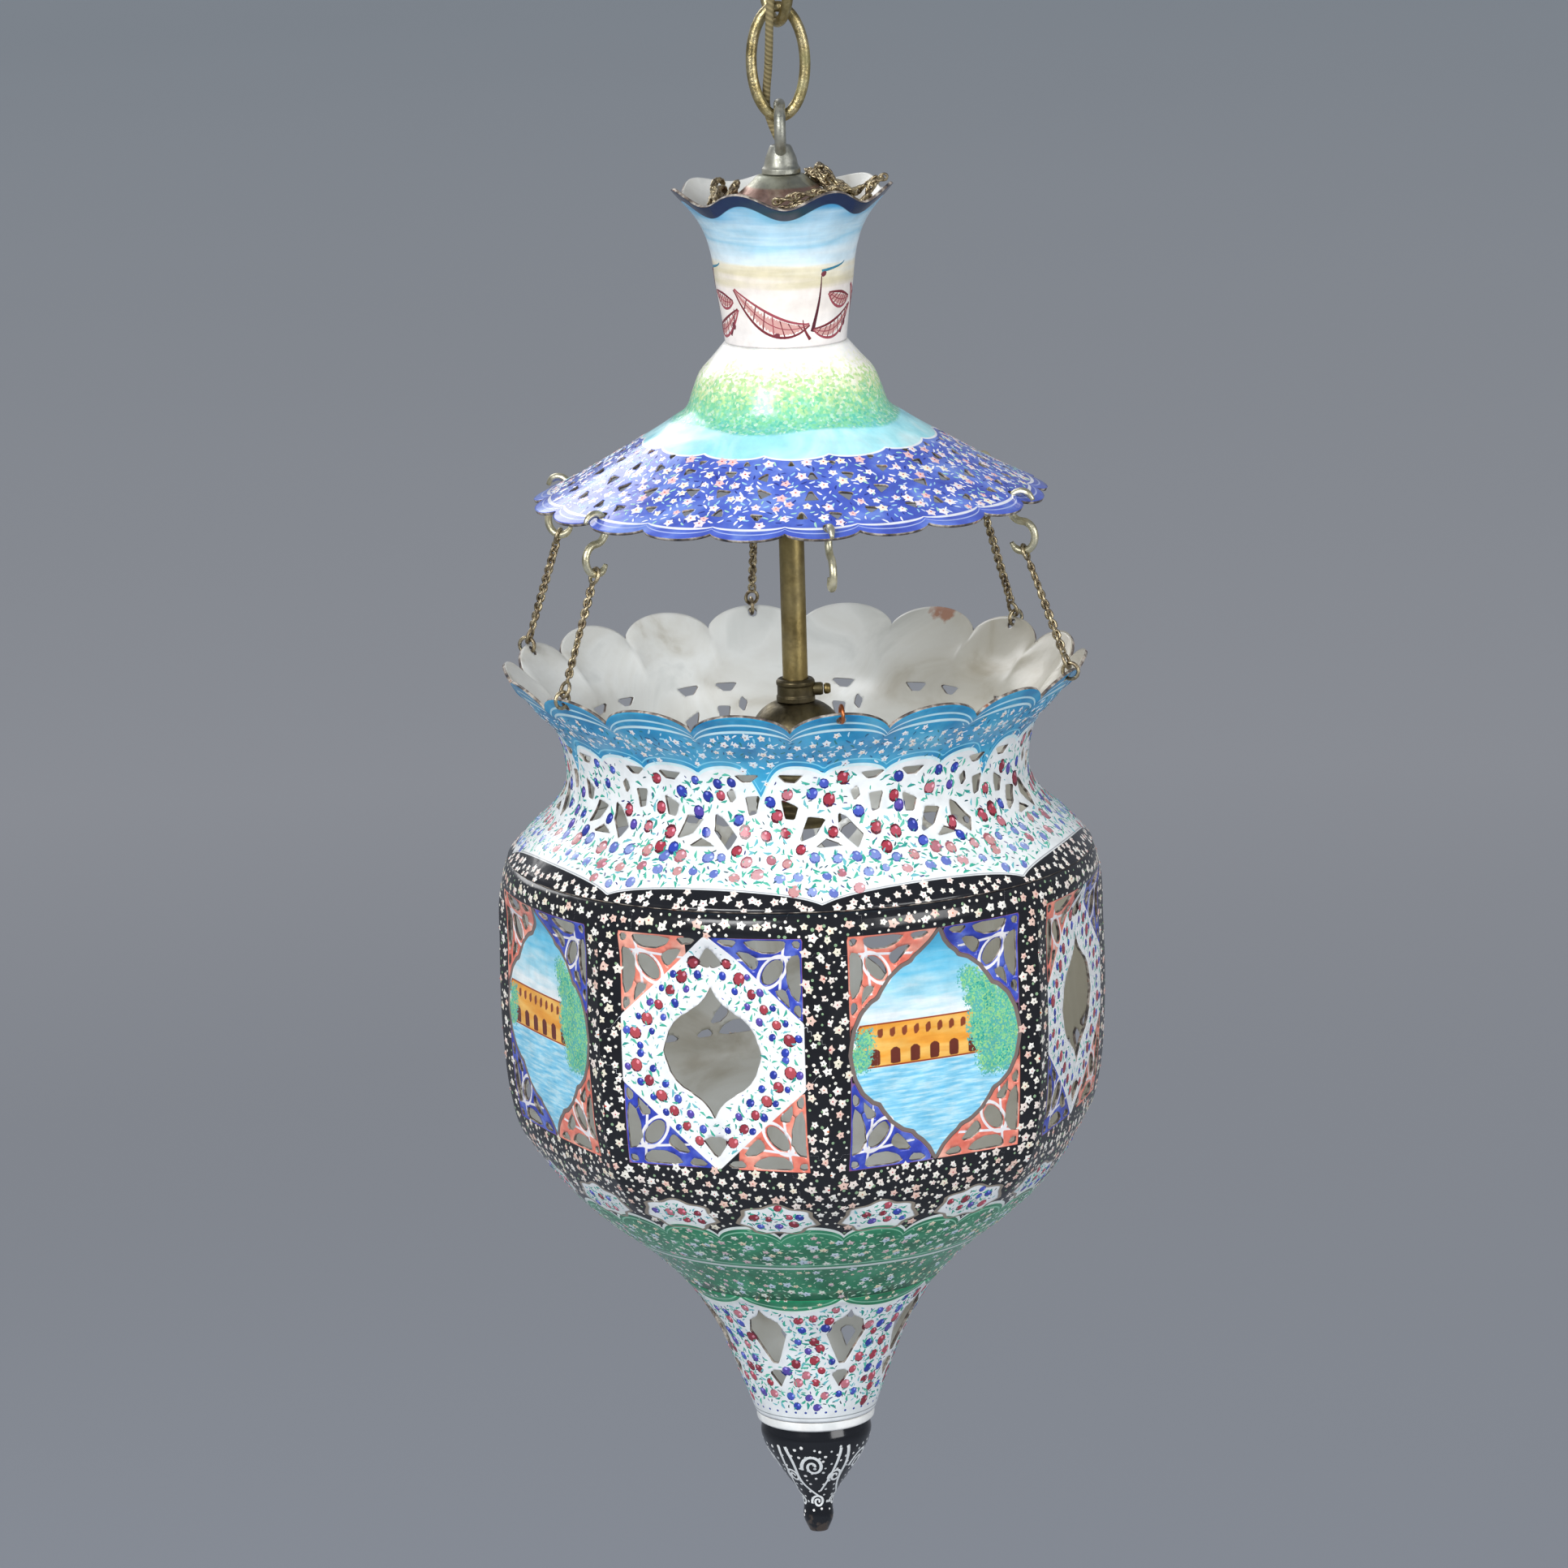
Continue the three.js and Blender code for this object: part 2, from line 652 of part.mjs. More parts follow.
const neckForm = reshape(neckBlank, waveRim(bowlLobes, lobe, bowlRimHeight));

const neckQuad = polygon([[-3.6, -4.2], [2.6, -3.4], [3.8, 3.6], [-1.2, 4.6]]);
const neckCutters = [];
for (let i = 0; i < bowlLobes.count; i += 1) {
  const height = neckHeight + (i % 2 ? 1 : -1);
  const radius = radiusAt(neckOutline, height);
  const angle = bowlLobes.first + 2 + (360 / bowlLobes.count) * i;
  neckCutters.push(through(neckQuad, angle, radius, height, 0, 8));
}

// Each hanger's ring passes through a hole below the middle of a lobe
const rimLean = new THREE.Vector2(5, 5).normalize();
const rimTip = rimShift(bowlLobes, lobe, bowlLobes.first);

function rimPoint(inset) {
  return {
    radius: bowlRimRadius + rimTip.outward - inset * rimLean.x,
    height: bowlRimHeight + rimTip.up - inset * rimLean.y,
  };
}

const rimNormal = -45;
for (const angle of hangerAngles) {
  const hole = rimPoint(rimHoleInset);
  const radius = hole.radius - (wall / 2) * rimLean.y;
  const height = hole.height + (wall / 2) * rimLean.x;
  neckCutters.push(through(disc(rimHoleRadius, 10), angle, radius, height, rimNormal, 8));
}
addPiece(lamp, 'bowl_neck', cut(neckForm, neckCutters), 'whiteEnamel');

// Belly: eight soft sides, with pierced and painted panels by turns
const bellyOutline = [
  [ridgeRadius + 0.4, ridgeHeight + seatGap],
  [ridgeRadius + 10.9, ridgeHeight + 11],
  [ridgeRadius + 28.3, ridgeHeight + 25],
  [bellyRadius - 23.7, ridgeHeight + 39.5],
  [bellyRadius - 11.2, ridgeHeight + 54],
  [bellyRadius - 6.6, ridgeHeight + 61],
  [bellyRadius - 2.3, ridgeHeight + 77],
  [bellyRadius - 0.3, ridgeHeight + 98],
  [bellyRadius, shoulderHeight - 34.5],
  [bellyRadius - 1.3, shoulderHeight - 10.5],
  [shoulderRadius, shoulderHeight],
];
const bellyMiddle = shoulderHeight - 56.5;
const panelHalfHeight = 45;
const bellyStep = 360 / bellySides;

// Flattens the sides between the corners
function sideFactor(angle, height) {
  const turns = (angle - bellyCorner) / bellyStep;
  const fromMiddle = (turns - Math.floor(turns) - 0.5) * bellyStep;
  const flat = Math.cos(toRad(bellyStep / 2)) / Math.cos(toRad(fromMiddle));
  const above = smoothstep(height, shoulderHeight - 22, shoulderHeight - lapDepth);
  const below = smoothstep(-height, -ridgeHeight - 72, -ridgeHeight - 34);
  const share = bellyFlatness * (1 - above) * (1 - below);
  return 1 - share * (1 - flat);
}

const bellyBlank = sheet(bellyOutline, wall, 4 * bellySides, bellyCorner);
const bellyForm = reshape(bellyBlank, (angle, radius, height) => [radius * sideFactor(angle, height), height]);

// Openings of the panels, in the panel's own width and height
const windowShape = polygon([
  [0, 26.5], [5.2, 18.5], [13.4, 11.2], [20.4, 0], [13.4, -11.2], [5.2, -18.5],
  [0, -26.5], [-5.2, -18.5], [-13.4, -11.2], [-20.4, 0], [-13.4, 11.2], [-5.2, 18.5],
]);
const spandrel = (side, end) => {
  const corners = [[19, 26], [31, 22], [31, 39], [17, 39]].map(([x, y]) => [side * x, end * y]);
  return polygon(side * end > 0 ? corners : corners.reverse());
};
const bellyCutters = [];
for (let side = 0; side < bellySides; side += 1) {
  const angle = bellyCorner + bellyStep * (side - 0.5);
  const radius = bellyRadius * sideFactor(angle, bellyMiddle);
  for (const across of [-1, 1]) {
    for (const end of [-1, 1]) {
      bellyCutters.push(through(spandrel(across, end), angle, radius - 4, bellyMiddle, 0, 26));
    }
  }
  if (side % 2 === 0) {
    bellyCutters.push(through(windowShape, angle, radius, bellyMiddle, 0, 16));
  }
}
addPiece(lamp, 'bowl_belly', cut(bellyForm, bellyCutters), 'blackEnamel');

// Cone: from the ridge down to the foot, with eight tall openings
const coneOutline = [
  [coneFootRadius, coneFootHeight],
  [coneFootRadius + 5.7, coneFootHeight + 15.5],
  [coneFootRadius + 9.5, coneFootHeight + 25.5],
  [ridgeRadius - 15.4, ridgeHeight - 24],
  [ridgeRadius - 7.4, ridgeHeight - 10],
  [ridgeRadius - 2.9, ridgeHeight - 3.5],
  [ridgeRadius + 0.8, ridgeHeight - 1.5],
  [ridgeRadius + 0.8, ridgeHeight],
];
const bellyInside = insideOf(bellyOutline, wall);
const coneSleeve = radiusAt(bellyInside, ridgeHeight + 1.5) - lapGap;
const coneInside = insideOf(coneOutline, wall);
const coneProfile = [
  ...coneOutline,
  [coneSleeve, ridgeHeight],
  [coneSleeve, ridgeHeight + 4],
  [coneSleeve - wall, ridgeHeight + 4],
  [coneSleeve - wall, ridgeHeight - 1.9],
  ...coneInside.slice(0, -2).reverse(),
];
const coneOpenings = 8;
const coneFirst = 18.5;
const diamond = polygon([[0, 10.5], [4.6, 6.4], [6.6, -1], [3, -7.6], [0, -10.5], [-3, -7.6], [-6.6, -1], [-4.6, 6.4]]);
const coneCutters = [];
for (let i = 0; i < coneOpenings; i += 1) {
  const angle = coneFirst + (360 / coneOpenings) * i;
  const height = ridgeHeight - 21;
  coneCutters.push(through(diamond, angle, radiusAt(coneOutline, height), height, -25, 10));
}
addPiece(lamp, 'bowl_cone', cut(turnedRing(coneProfile, 24), coneCutters), 'whiteEnamel');

// Foot disc that closes the cone, the finial, its stud and its nut
const footTop = coneFootHeight - seatGap;
const footPlug = coneInside[0][0] - seatGap - 0.4;
const footProfile = [
  [studRadius + seatGap, footTop - footThick],
  [coneFootRadius - 1.8, footTop - footThick],
  [coneFootRadius - 0.4, footTop - 1.4],
  [coneFootRadius - 0.4, footTop],
  [footPlug, footTop],
  [footPlug, footTop + 3],
  [studRadius + seatGap, footTop + 3],
];
addPiece(lamp, 'foot_disc', turnedRing(footProfile, 24), 'whiteEnamel');

const finialTop = footTop - footThick - seatGap;
const finialFoot = finialTop - finialHeight;
const studTop = footTop + 3 + 7;
const studFoot = studTop - studLength;
const finialProfile = [
  [0, finialFoot],
  [finialRadius - 18.6, finialFoot],
  [finialRadius - 16.5, finialFoot + 5],
  [finialRadius - 16.4, finialFoot + 13],
  [finialRadius - 13.8, finialFoot + 18.2],
  [finialRadius - 10.4, finialFoot + 23],
  [finialRadius - 6.8, finialFoot + 28.4],
  [finialRadius - 3.6, finialTop - 14],
  [finialRadius - 0.6, finialTop - 7.4],
  [finialRadius, finialTop - 4.2],
  [finialRadius - 0.9, finialTop],
  [studRadius + seatGap, finialTop],
  [studRadius + seatGap, studFoot - seatGap],
  [0, studFoot - seatGap],
];
addPiece(lamp, 'finial', turned(finialProfile, 20), 'blackEnamel');

const studProfile = [[0, studFoot], [studRadius, studFoot], [studRadius, studTop], [0, studTop]];
addPiece(lamp, 'finial_stud', turned(studProfile, 12), 'steel');

const finialNutShape = disc(4.6, 6);
finialNutShape.holes.push(new THREE.Path().absarc(0, 0, studRadius + seatGap, 0, 2 * Math.PI, true));
const finialNut = new THREE.ExtrudeGeometry(finialNutShape, { depth: 3.2, bevelEnabled: false, curveSegments: 8 });
finialNut.translate(0, 0, footTop + 3 + seatGap);
addPiece(lamp, 'finial_nut', finialNut, 'steel');

// S-hook: two loops of wire bent opposite ways, in the upright plane through the lamp's axis
class SCurve extends THREE.Curve {
  getPoint(t, target = new THREE.Vector3()) {
    const side = t < 0.5 ? 1 : -1;
    const turn = toRad(sTurn) * Math.abs(2 * t - 1);
    return target.set(side * sHalfWidth * Math.sin(turn), 0, side * sHalfHeight * (1 - Math.cos(turn)));
  }
}

function inHangerPlane(geometry, angle, radius, height) {
  const place = round(angle, radius, height);
  return geometry.rotateZ(toRad(angle - 90)).translate(place.x, place.y, place.z);
}

const sMiddle = (seat) => seat.loopMiddle - sHalfHeight;
hangerAngles.forEach((angle, i) => {
  const seat = hangerSeat(angle);
  const hook = inHangerPlane(wireAlong(new SCurve(), sWire / 2, 20, 5), angle, seat.radius, sMiddle(seat));
  addPiece(lamp, `s_hook_${i + 1}`, hook, 'brass');
});

// The ring in a rim hole, and the fine chain from the hook's lower loop to that ring
function ringCentre() {
  const offset = rimHoleRadius - ringWire / 2 - rimHoleGap;
  const inset = rimHoleInset - offset - ringRadius;
  const point = rimPoint(inset);
  return { radius: point.radius - (wall / 2) * rimLean.y, height: point.height + (wall / 2) * rimLean.x };
}

function circle(centre, across, up, radius) {
  return (turn) => centre.clone()
    .addScaledVector(across, radius * Math.sin(turn))
    .addScaledVector(up, radius * Math.cos(turn));
}

const upward = new THREE.Vector3(0, 0, 1);
hangerAngles.forEach((angle, i) => {
  const middle = ringCentre();
  const centre = round(angle, middle.radius, middle.height);
  const outward = round(angle, 1, 0);
  const tangent = new THREE.Vector3(Math.cos(toRad(angle)), Math.sin(toRad(angle)), 0);
  const ring = wireRing(circle(centre, outward, upward, ringRadius), tangent, ringWire / 2, 12, 4);
  addPiece(lamp, `rim_ring_${i + 1}`, ring, i === 0 ? 'copper' : 'darkBronze');
  if (i === 0) {
    return;
  }
  const seat = hangerSeat(angle);
  const hookBase = round(angle, seat.radius, sMiddle(seat) - 2 * sHalfHeight);
  const lean = centre.clone().sub(hookBase).normalize();
  const face = tangent.clone().cross(lean).normalize();
  const topEye = hookBase.clone();
  topEye.z += (sWire + eyeWire) / 2 + holeGap;
  topEye.addScaledVector(lean, eyeRadius);
  const lowEye = centre.clone();
  lowEye.addScaledVector(lean, -(ringRadius - (ringWire + eyeWire) / 2 - holeGap) - eyeRadius);
  const away = lowEye.distanceTo(topEye) - 2 * eyeRadius;
  const eyeAt = (eye) => wireRing(circle(eye, tangent, lean, eyeRadius), face, eyeWire / 2, 9, 4);
  const bar = new THREE.BoxGeometry(chainWidth / 1.3, away + 1.2, chainWidth / 1.3, 1, 10, 1);
  const spots = bar.getAttribute('position');
  for (let k = 0; k < spots.count; k += 1) {
    const turn = 2 * Math.PI * chainTwist * (spots.getY(k) / away);
    const [x, z] = [spots.getX(k), spots.getZ(k)];
    spots.setX(k, x * Math.cos(turn) - z * Math.sin(turn));
    spots.setZ(k, x * Math.sin(turn) + z * Math.cos(turn));
  }
  bar.applyMatrix4(new THREE.Matrix4().makeBasis(tangent, lean, face));
  const barMiddle = topEye.clone().add(lowEye).multiplyScalar(0.5);
  bar.translate(barMiddle.x, barMiddle.y, barMiddle.z);
  addPiece(lamp, `fine_chain_${i + 1}`, join(bar, eyeAt(topEye), eyeAt(lowEye)), 'darkBronze');
});

// Fine chain left over, bunched in the crown round the cap. Each point has its angle, its radius as
// a share of the crown's rim, and how far it is lifted off the cap, in thicknesses of the bunch.
const bunchRadius = 1.5;
function bunch(points) {
  const path = points.map(([angle, share, lift]) => {
    const radius = share * crownRimRadius;
    const onCap = radius < capEdge;
    const outline = onCap ? capOutline : crownInside;
    const under = Math.max(capEdgeHeight, heightAt(outline, radius));
    const steep = onCap ? Math.abs(heightAt(capOutline, radius - 1) - under) : 0;
    return round(angle, radius, under + bunchRadius * (1.2 * Math.hypot(1, steep) + 2 * lift));
  });
  return new THREE.CatmullRomCurve3(path, false, 'centripetal');
}

const longBunch = bunch([
  [-20, 0.6, 0.25], [-5, 0.61, 0.25], [10, 0.6, 0.25], [25, 0.62, 0.25], [40, 0.6, 0.25], [55, 0.61, 0.25],
  [70, 0.6, 0.25], [86, 0.58, 0.25], [100, 0.52, 0.3], [114, 0.45, 0.4], [112, 0.34, 0.6], [92, 0.32, 0.6],
  [76, 0.42, 0.9], [70, 0.56, 1.6], [76, 0.71, 2.95], [84, 0.85, 2.4], [88, 0.95, 1.5],
]);
addPiece(lamp, 'crown_chain_long', wireAlong(longBunch, bunchRadius, 44, 5), 'darkBronze');
const shortBunch = bunch([
  [-128, 0.56, 0.25], [-112, 0.47, 0.3], [-96, 0.41, 0.3], [-80, 0.46, 0.3], [-66, 0.56, 0.25], [-52, 0.61, 0.25],
]);
addPiece(lamp, 'crown_chain_short', wireAlong(shortBunch, bunchRadius, 20, 5), 'darkBronze');

// Flex: from the ceiling through both links and the loop, down the pipe to the lampholder
const ceilingLevel = -lamp.position.z;
const flexRoute = [
  [cordHole.x, cordHole.y, ceilingLevel - 0.4],
  [cordHole.x, cordHole.y, ceilingLevel - 12],
  [3.2, 10, ceilingLevel - 24],
  [1.3, 7.2, ceilingLevel - 37],
  [0.6, 4.2, ceilingLevel - 44],
  [0, 0.8, ceilingLevel - 51],
  [-1.2, -2.2, ceilingLevel - 58],
  [-2.4, -4.4, ceilingLevel - 65],
  [-3, -5.2, ceilingLevel - 73],
  [-3.4, -3.4, ceilingLevel - 82],
  [-4, 0.2, ceilingLevel - 91],
  [-4.9, 3.6, ceilingLevel - 100],
  [-5, 4.9, ceilingLevel - 106],
  [-3.2, 3.4, ceilingLevel - 112.5],
  [-0.9, 1, ceilingLevel - 118],
  [-0.1, 0.1, collarTop + 1],
  [0, 0, collarTop - 2],
  [0, 0, collarBase - 30],
].map(([x, y, z]) => new THREE.Vector3(x, y, z));
const flexCurve = new THREE.CatmullRomCurve3(flexRoute, false, 'centripetal');

// Part of a curve between two of its fractions
class Stretch extends THREE.Curve {
  constructor(curve, from, to) {
    super();
    Object.assign(this, { curve, from, to });
  }

  getPoint(t, target = new THREE.Vector3()) {
    return this.curve.getPointAt(lerp(this.from, this.to, t), target);
  }
}

// The fraction of the flex at which it passes a level of the lamp
function flexAt(level) {
  let [low, high] = [0, 1];
  for (let i = 0; i < 40; i += 1) {
    const middle = (low + high) / 2;
    if (flexCurve.getPointAt(middle).z > level) {
      low = middle;
    } else {
      high = middle;
    }
  }
  return low;
}

const flexLevels = [hookBottom, (upperLinkBottom + lowerLinkTop) / 2, (lowerLinkBottom + loopTop) / 2];
const flexCuts = flexLevels.map((level) => flexAt(level - lamp.position.z));
const flexHalfGap = seatGap / 2 / flexCurve.getLength();
const flexEnds = [0, ...flexCuts, flexAt(collarBase - 4)];
const flexSteps = [8, 12, 12, 8];
const flexPieces = flexSteps.map((steps, i) => {
  const from = flexEnds[i] + (i > 0 ? flexHalfGap : 0);
  const to = flexEnds[i + 1] - (i < 3 ? flexHalfGap : 0);
  return wireAlong(new Stretch(flexCurve, from, to), flexRadius, steps, 6);
});

// Inside the pipe the flex hangs straight
const flexFoot = insulatorTop + seatGap;
const straightFlex = new THREE.CylinderGeometry(flexRadius, flexRadius, collarBase - flexFoot, 6);
straightFlex.rotateX(Math.PI / 2).translate(0, 0, (collarBase + flexFoot) / 2);
addPiece(lamp, 'flex_ceiling', flexPieces[0], 'flex');
addPiece(lamp, 'flex_upper', flexPieces[1], 'flex');
addPiece(lamp, 'flex_lower', flexPieces[2], 'flex');
addPiece(lamp, 'flex_stem', join(flexPieces[3], straightFlex), 'flex');

export default chandelier;
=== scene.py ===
import math
from functools import partial
import bmesh
import bpy
import numpy as np
from mathutils import Matrix, Vector


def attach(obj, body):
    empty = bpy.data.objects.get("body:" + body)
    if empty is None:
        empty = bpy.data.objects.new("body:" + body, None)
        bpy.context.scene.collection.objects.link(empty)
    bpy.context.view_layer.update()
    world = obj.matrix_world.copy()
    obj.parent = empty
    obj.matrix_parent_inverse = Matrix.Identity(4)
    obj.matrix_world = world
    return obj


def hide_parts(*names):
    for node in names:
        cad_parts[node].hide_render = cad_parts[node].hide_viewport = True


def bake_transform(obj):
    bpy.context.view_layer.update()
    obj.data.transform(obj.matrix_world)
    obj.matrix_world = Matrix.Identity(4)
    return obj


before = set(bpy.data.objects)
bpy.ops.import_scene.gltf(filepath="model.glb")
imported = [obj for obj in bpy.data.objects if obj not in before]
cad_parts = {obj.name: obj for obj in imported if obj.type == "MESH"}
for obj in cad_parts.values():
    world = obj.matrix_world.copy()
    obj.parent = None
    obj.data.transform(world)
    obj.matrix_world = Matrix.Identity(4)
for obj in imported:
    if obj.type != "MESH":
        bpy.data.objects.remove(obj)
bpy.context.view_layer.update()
randomPlaces = np.random.default_rng(11)

# Camera

view = {
    "distance": 2.8,        # from the lamp's middle level, metres
    "middle": -0.3756,      # height of that level
    "down": 12.1,           # degrees the camera looks down
    "roll": -1.6,           # the photographed lamp leans a little to the left
    "lens": 161.7,
    "shiftX": -0.0091,
}
cameraData = bpy.data.cameras.new("camera")
cameraData.lens = view["lens"]
cameraData.sensor_width = 36
cameraData.shift_x = view["shiftX"]
cameraData.clip_end = 200
camera = bpy.data.objects.new("camera", cameraData)
bpy.context.scene.collection.objects.link(camera)
tilt = math.radians(view["down"])
place = Vector((0, -view["distance"] * math.cos(tilt), view["middle"] + view["distance"] * math.sin(tilt)))
camera.matrix_world = (Matrix.Translation(place) @ Matrix.Rotation(math.radians(90) - tilt, 4, "X")
                       @ Matrix.Rotation(math.radians(view["roll"]), 4, "Z"))
bpy.context.scene.camera = camera

# Helpers


def linear(colour):
    # sRGB hex to linear: divide by 12.92 below 0.04045, else ((c + 0.055) / 1.055) to the power 2.4
    parts = np.array([int(colour[i:i + 2], 16) / 255 for i in (1, 3, 5)])
    return (*np.where(parts <= 0.04045, parts / 12.92, ((parts + 0.055) / 1.055) ** 2.4).tolist(), 1.0)


def addNode(material, kind, inputs=(), out=0, stops=(), **settings):
    # Adds one node and gives back one output. Inputs go by name or number, or in their order: a plain
    # value, a hex colour or another node's output. Stops fill a colour ramp
    tree = material.node_tree
    node = tree.nodes.new("ShaderNode" + kind)
    for key, value in settings.items():
        setattr(node, key, value)
    for key, value in (inputs if isinstance(inputs, dict) else dict(enumerate(inputs))).items():
        if isinstance(value, bpy.types.NodeSocket):
            tree.links.new(value, node.inputs[key])
        else:
            node.inputs[key].default_value = linear(value) if isinstance(value, str) else value
    if stops:
        ramp = node.color_ramp
        while len(ramp.elements) < len(stops):
            ramp.elements.new(1.0)
        for element, (spot, colour) in zip(ramp.elements, stops):
            element.position = spot
            element.color = linear(colour)
    return node.outputs[out]


def newMaterial(name, colour, **values):
    # A material whose principled shader holds the plain values, with its own node-adding function and
    # its Object coordinates
    material = bpy.data.materials.new(name)
    material.use_nodes = True
    shader = material.node_tree.nodes["Principled BSDF"]
    shader.inputs["Base Color"].default_value = linear(colour)
    material.diffuse_color = linear(colour)
    for key, value in values.items():
        shader.inputs[key.replace("_", " ")].default_value = value
    add = partial(addNode, material)
    return material, add, add("TexCoord", out="Object")


def joinTo(material, **outputs):
    # Links outputs to sockets of the principled shader
    shader = material.node_tree.nodes["Principled BSDF"]
    for key, output in outputs.items():
        material.node_tree.links.new(output, shader.inputs[key.replace("_", " ")])


def coats(add, colour, *layers):
    # Lays colours over one another, each as far as its share says
    for share, tint in layers:
        colour = add("Mix", {0: share, 6: colour, 7: tint}, 2, data_type="RGBA")
    return colour


def wash(scale, *stops, **noise):
    # A colour that drifts between its stops with how thick the glass or paint lies
    def build(add, spot):
        thick = add("TexNoise", {"Vector": spot, "Scale": scale, "Detail": 4, **noise})
        return add("ValToRGB", (thick,), stops=stops)
    return build


def painted(key):
    # Settings that read one of a piece's own attributes
    return {"attribute_name": key, "out": "Fac"}


def smoothStep(value, low, high):
    # 3t^2 - 2t^3 of the share t of the way from low to high
    t = np.clip((value - low) / (high - low), 0, 1)
    return t * t * (3 - 2 * t)


def addPiece(name, points, faces, materials, body, node=None, fields=None, colours=None):
    # Puts points (metres) and faces into a mesh object that rides on a body and stands for a CAD node
    mesh = bpy.data.meshes.new(name)
    faceLists = [part.tolist() for part in (faces if isinstance(faces, list) else [faces])]
    mesh.from_pydata(np.asarray(points).tolist(), [], [face for part in faceLists for face in part])
    mesh.update()
    mesh.polygons.foreach_set("use_smooth", np.ones(len(mesh.polygons), bool))
    for key, values in (fields or {}).items():
        attribute = mesh.attributes.new(key, "FLOAT", "POINT")
        attribute.data.foreach_set("value", np.asarray(values, np.float32))
    if colours is not None:
        attribute = mesh.attributes.new("paint", "FLOAT_COLOR", "POINT")
        attribute.data.foreach_set("color", np.asarray(colours, np.float32).ravel())
    for material in materials:
        mesh.materials.append(material)
    piece = bpy.data.objects.new(name, mesh)
    bpy.context.scene.collection.objects.link(piece)
    if body:
        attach(piece, body)
    if node:
        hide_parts(node)
    return piece


def joined(parts):
    # One mesh out of many: each part's faces are counted on from the points before it
    starts = np.cumsum([0] + [len(part[0]) for part in parts[:-1]])
    faces = [part[1] + start for part, start in zip(parts, starts)]
    return np.concatenate([part[0] for part in parts]), np.concatenate(faces)


# Surfaces of the enamelled shells

lampDrop = 375.6            # the lamp's own heights are counted from this far below the ceiling, mm


def smoothCurve(points, step, power=1.0):
    # Hermite curve through the points, each tangent along its two neighbours, then spaced evenly by its
    # length. Power 0.5 keeps tight bends round. Gives the lengths along it and the points there
    points = np.asarray(points, float)
    chord = np.r_[0, np.cumsum(np.linalg.norm(np.diff(points, axis=0), axis=1) ** power)]
    slope = np.gradient(points, chord, axis=0)
    fine = np.linspace(0, chord[-1], int(chord[-1] * 4) if power == 1 else 60 * len(points))
    k = np.clip(np.searchsorted(chord, fine, side="right") - 1, 0, len(chord) - 2)
    span = (chord[k + 1] - chord[k])[:, None]
    t = (fine - chord[k])[:, None] / span
    curve = ((2 * t ** 3 - 3 * t ** 2 + 1) * points[k] + (t ** 3 - 2 * t ** 2 + t) * span * slope[k]
             + (3 * t ** 2 - 2 * t ** 3) * points[k + 1] + (t ** 3 - t ** 2) * span * slope[k + 1])
    length = np.r_[0, np.cumsum(np.linalg.norm(np.diff(curve, axis=0), axis=1))]
    even = np.linspace(0, length[-1], int(length[-1] / step) + 1)
    return even, np.column_stack([np.interp(even, length, column) for column in curve.T])


def plainForm(angle, radius, height):
    # A shell that is simply round
    return radius, height


def outlineOf(*points, form=plainForm):
    # An outline's lengths, radii and heights in mm, with the form that waves or flattens it
    along, curve = smoothCurve(points, 0.5)
    return {"along": along, "radius": curve[:, 0], "height": curve[:, 1], "length": along[-1], "form": form}


def radiusOf(shell, along):
    # The outline's radius at a length along it, by straight lines between its points
    return np.interp(along, shell["along"], shell["radius"])


def heightOf(shell, along):
    # Its height, in the same way
    return np.interp(along, shell["along"], shell["height"])


def lobeShape(turns):
    # 1 at each lobe's middle and 0 at the notches: part of a circle seen from its side
    across = 2 * np.abs(turns - np.round(turns))
    return (np.sqrt(1 - 0.9 * across ** 2) - math.sqrt(0.1)) / (1 - math.sqrt(0.1))


def waveShape(turns):
    # 1 at each wave's top and 0 between
    return 0.5 + 0.5 * np.cos(2 * math.pi * turns)


def turnsOf(angle, waves):
    # How many waves lie between the first one and the angle
    return (angle - waves["first"]) * waves["count"] / 360


def spotOn(shell, angle, along):
    # Point of a shell in metres: its outline at a length along it, turned round the axis, with its
    # rim waves and its flattened sides
    angle, along = np.broadcast_arrays(np.asarray(angle, float), np.asarray(along, float))
    radius, height = shell["form"](angle, radiusOf(shell, along), heightOf(shell, along))
    turn = np.radians(angle)
    return np.stack([radius * np.sin(turn), -radius * np.cos(turn), height - lampDrop], -1) / 1000


def normalOn(shell, angle, along):
    # Outward direction: the cross product of the steps round and up the shell
    step = 0.08
    aside = spotOn(shell, angle + step, along) - spotOn(shell, angle - step, along)
    up = (spotOn(shell, angle, np.minimum(along + step, shell["length"]))
          - spotOn(shell, angle, np.maximum(along - step, 0)))
    normal = np.cross(aside, up)
    return normal / np.maximum(np.linalg.norm(normal, axis=-1, keepdims=True), 1e-12)


# Waves and lobes of the rims: how many, where the first one is, and how far they go up and out
crownWaves = {"count": 7, "first": -24, "rise": 3.2, "reach": 1.6, "band": 14, "rim": 237.5}
brimLobes = {"count": 21, "first": 7.1, "rise": -0.9, "reach": 2.2, "from": 91.5, "to": 98.3}
bowlLobes = {"count": 18, "first": 8.6, "rise": 3.8, "reach": 2.4, "band": 12, "flute": 22, "rim": 47}
bellySides = {"first": 4, "turn": 45, "flatness": 0.8, "shoulder": (-47.5, -30), "foot": (126, 164)}


def crownForm(angle, radius, height):
    # The rim's waves are lower behind than in front
    shape = 2 * waveShape(turnsOf(angle, crownWaves)) - 1
    share = smoothStep(height, crownWaves["rim"] - crownWaves["band"], crownWaves["rim"])
    rise = crownWaves["rise"] * (0.68 + 0.32 * np.cos(np.radians(angle)))
    return radius + share * crownWaves["reach"] * shape, height + share * rise * shape


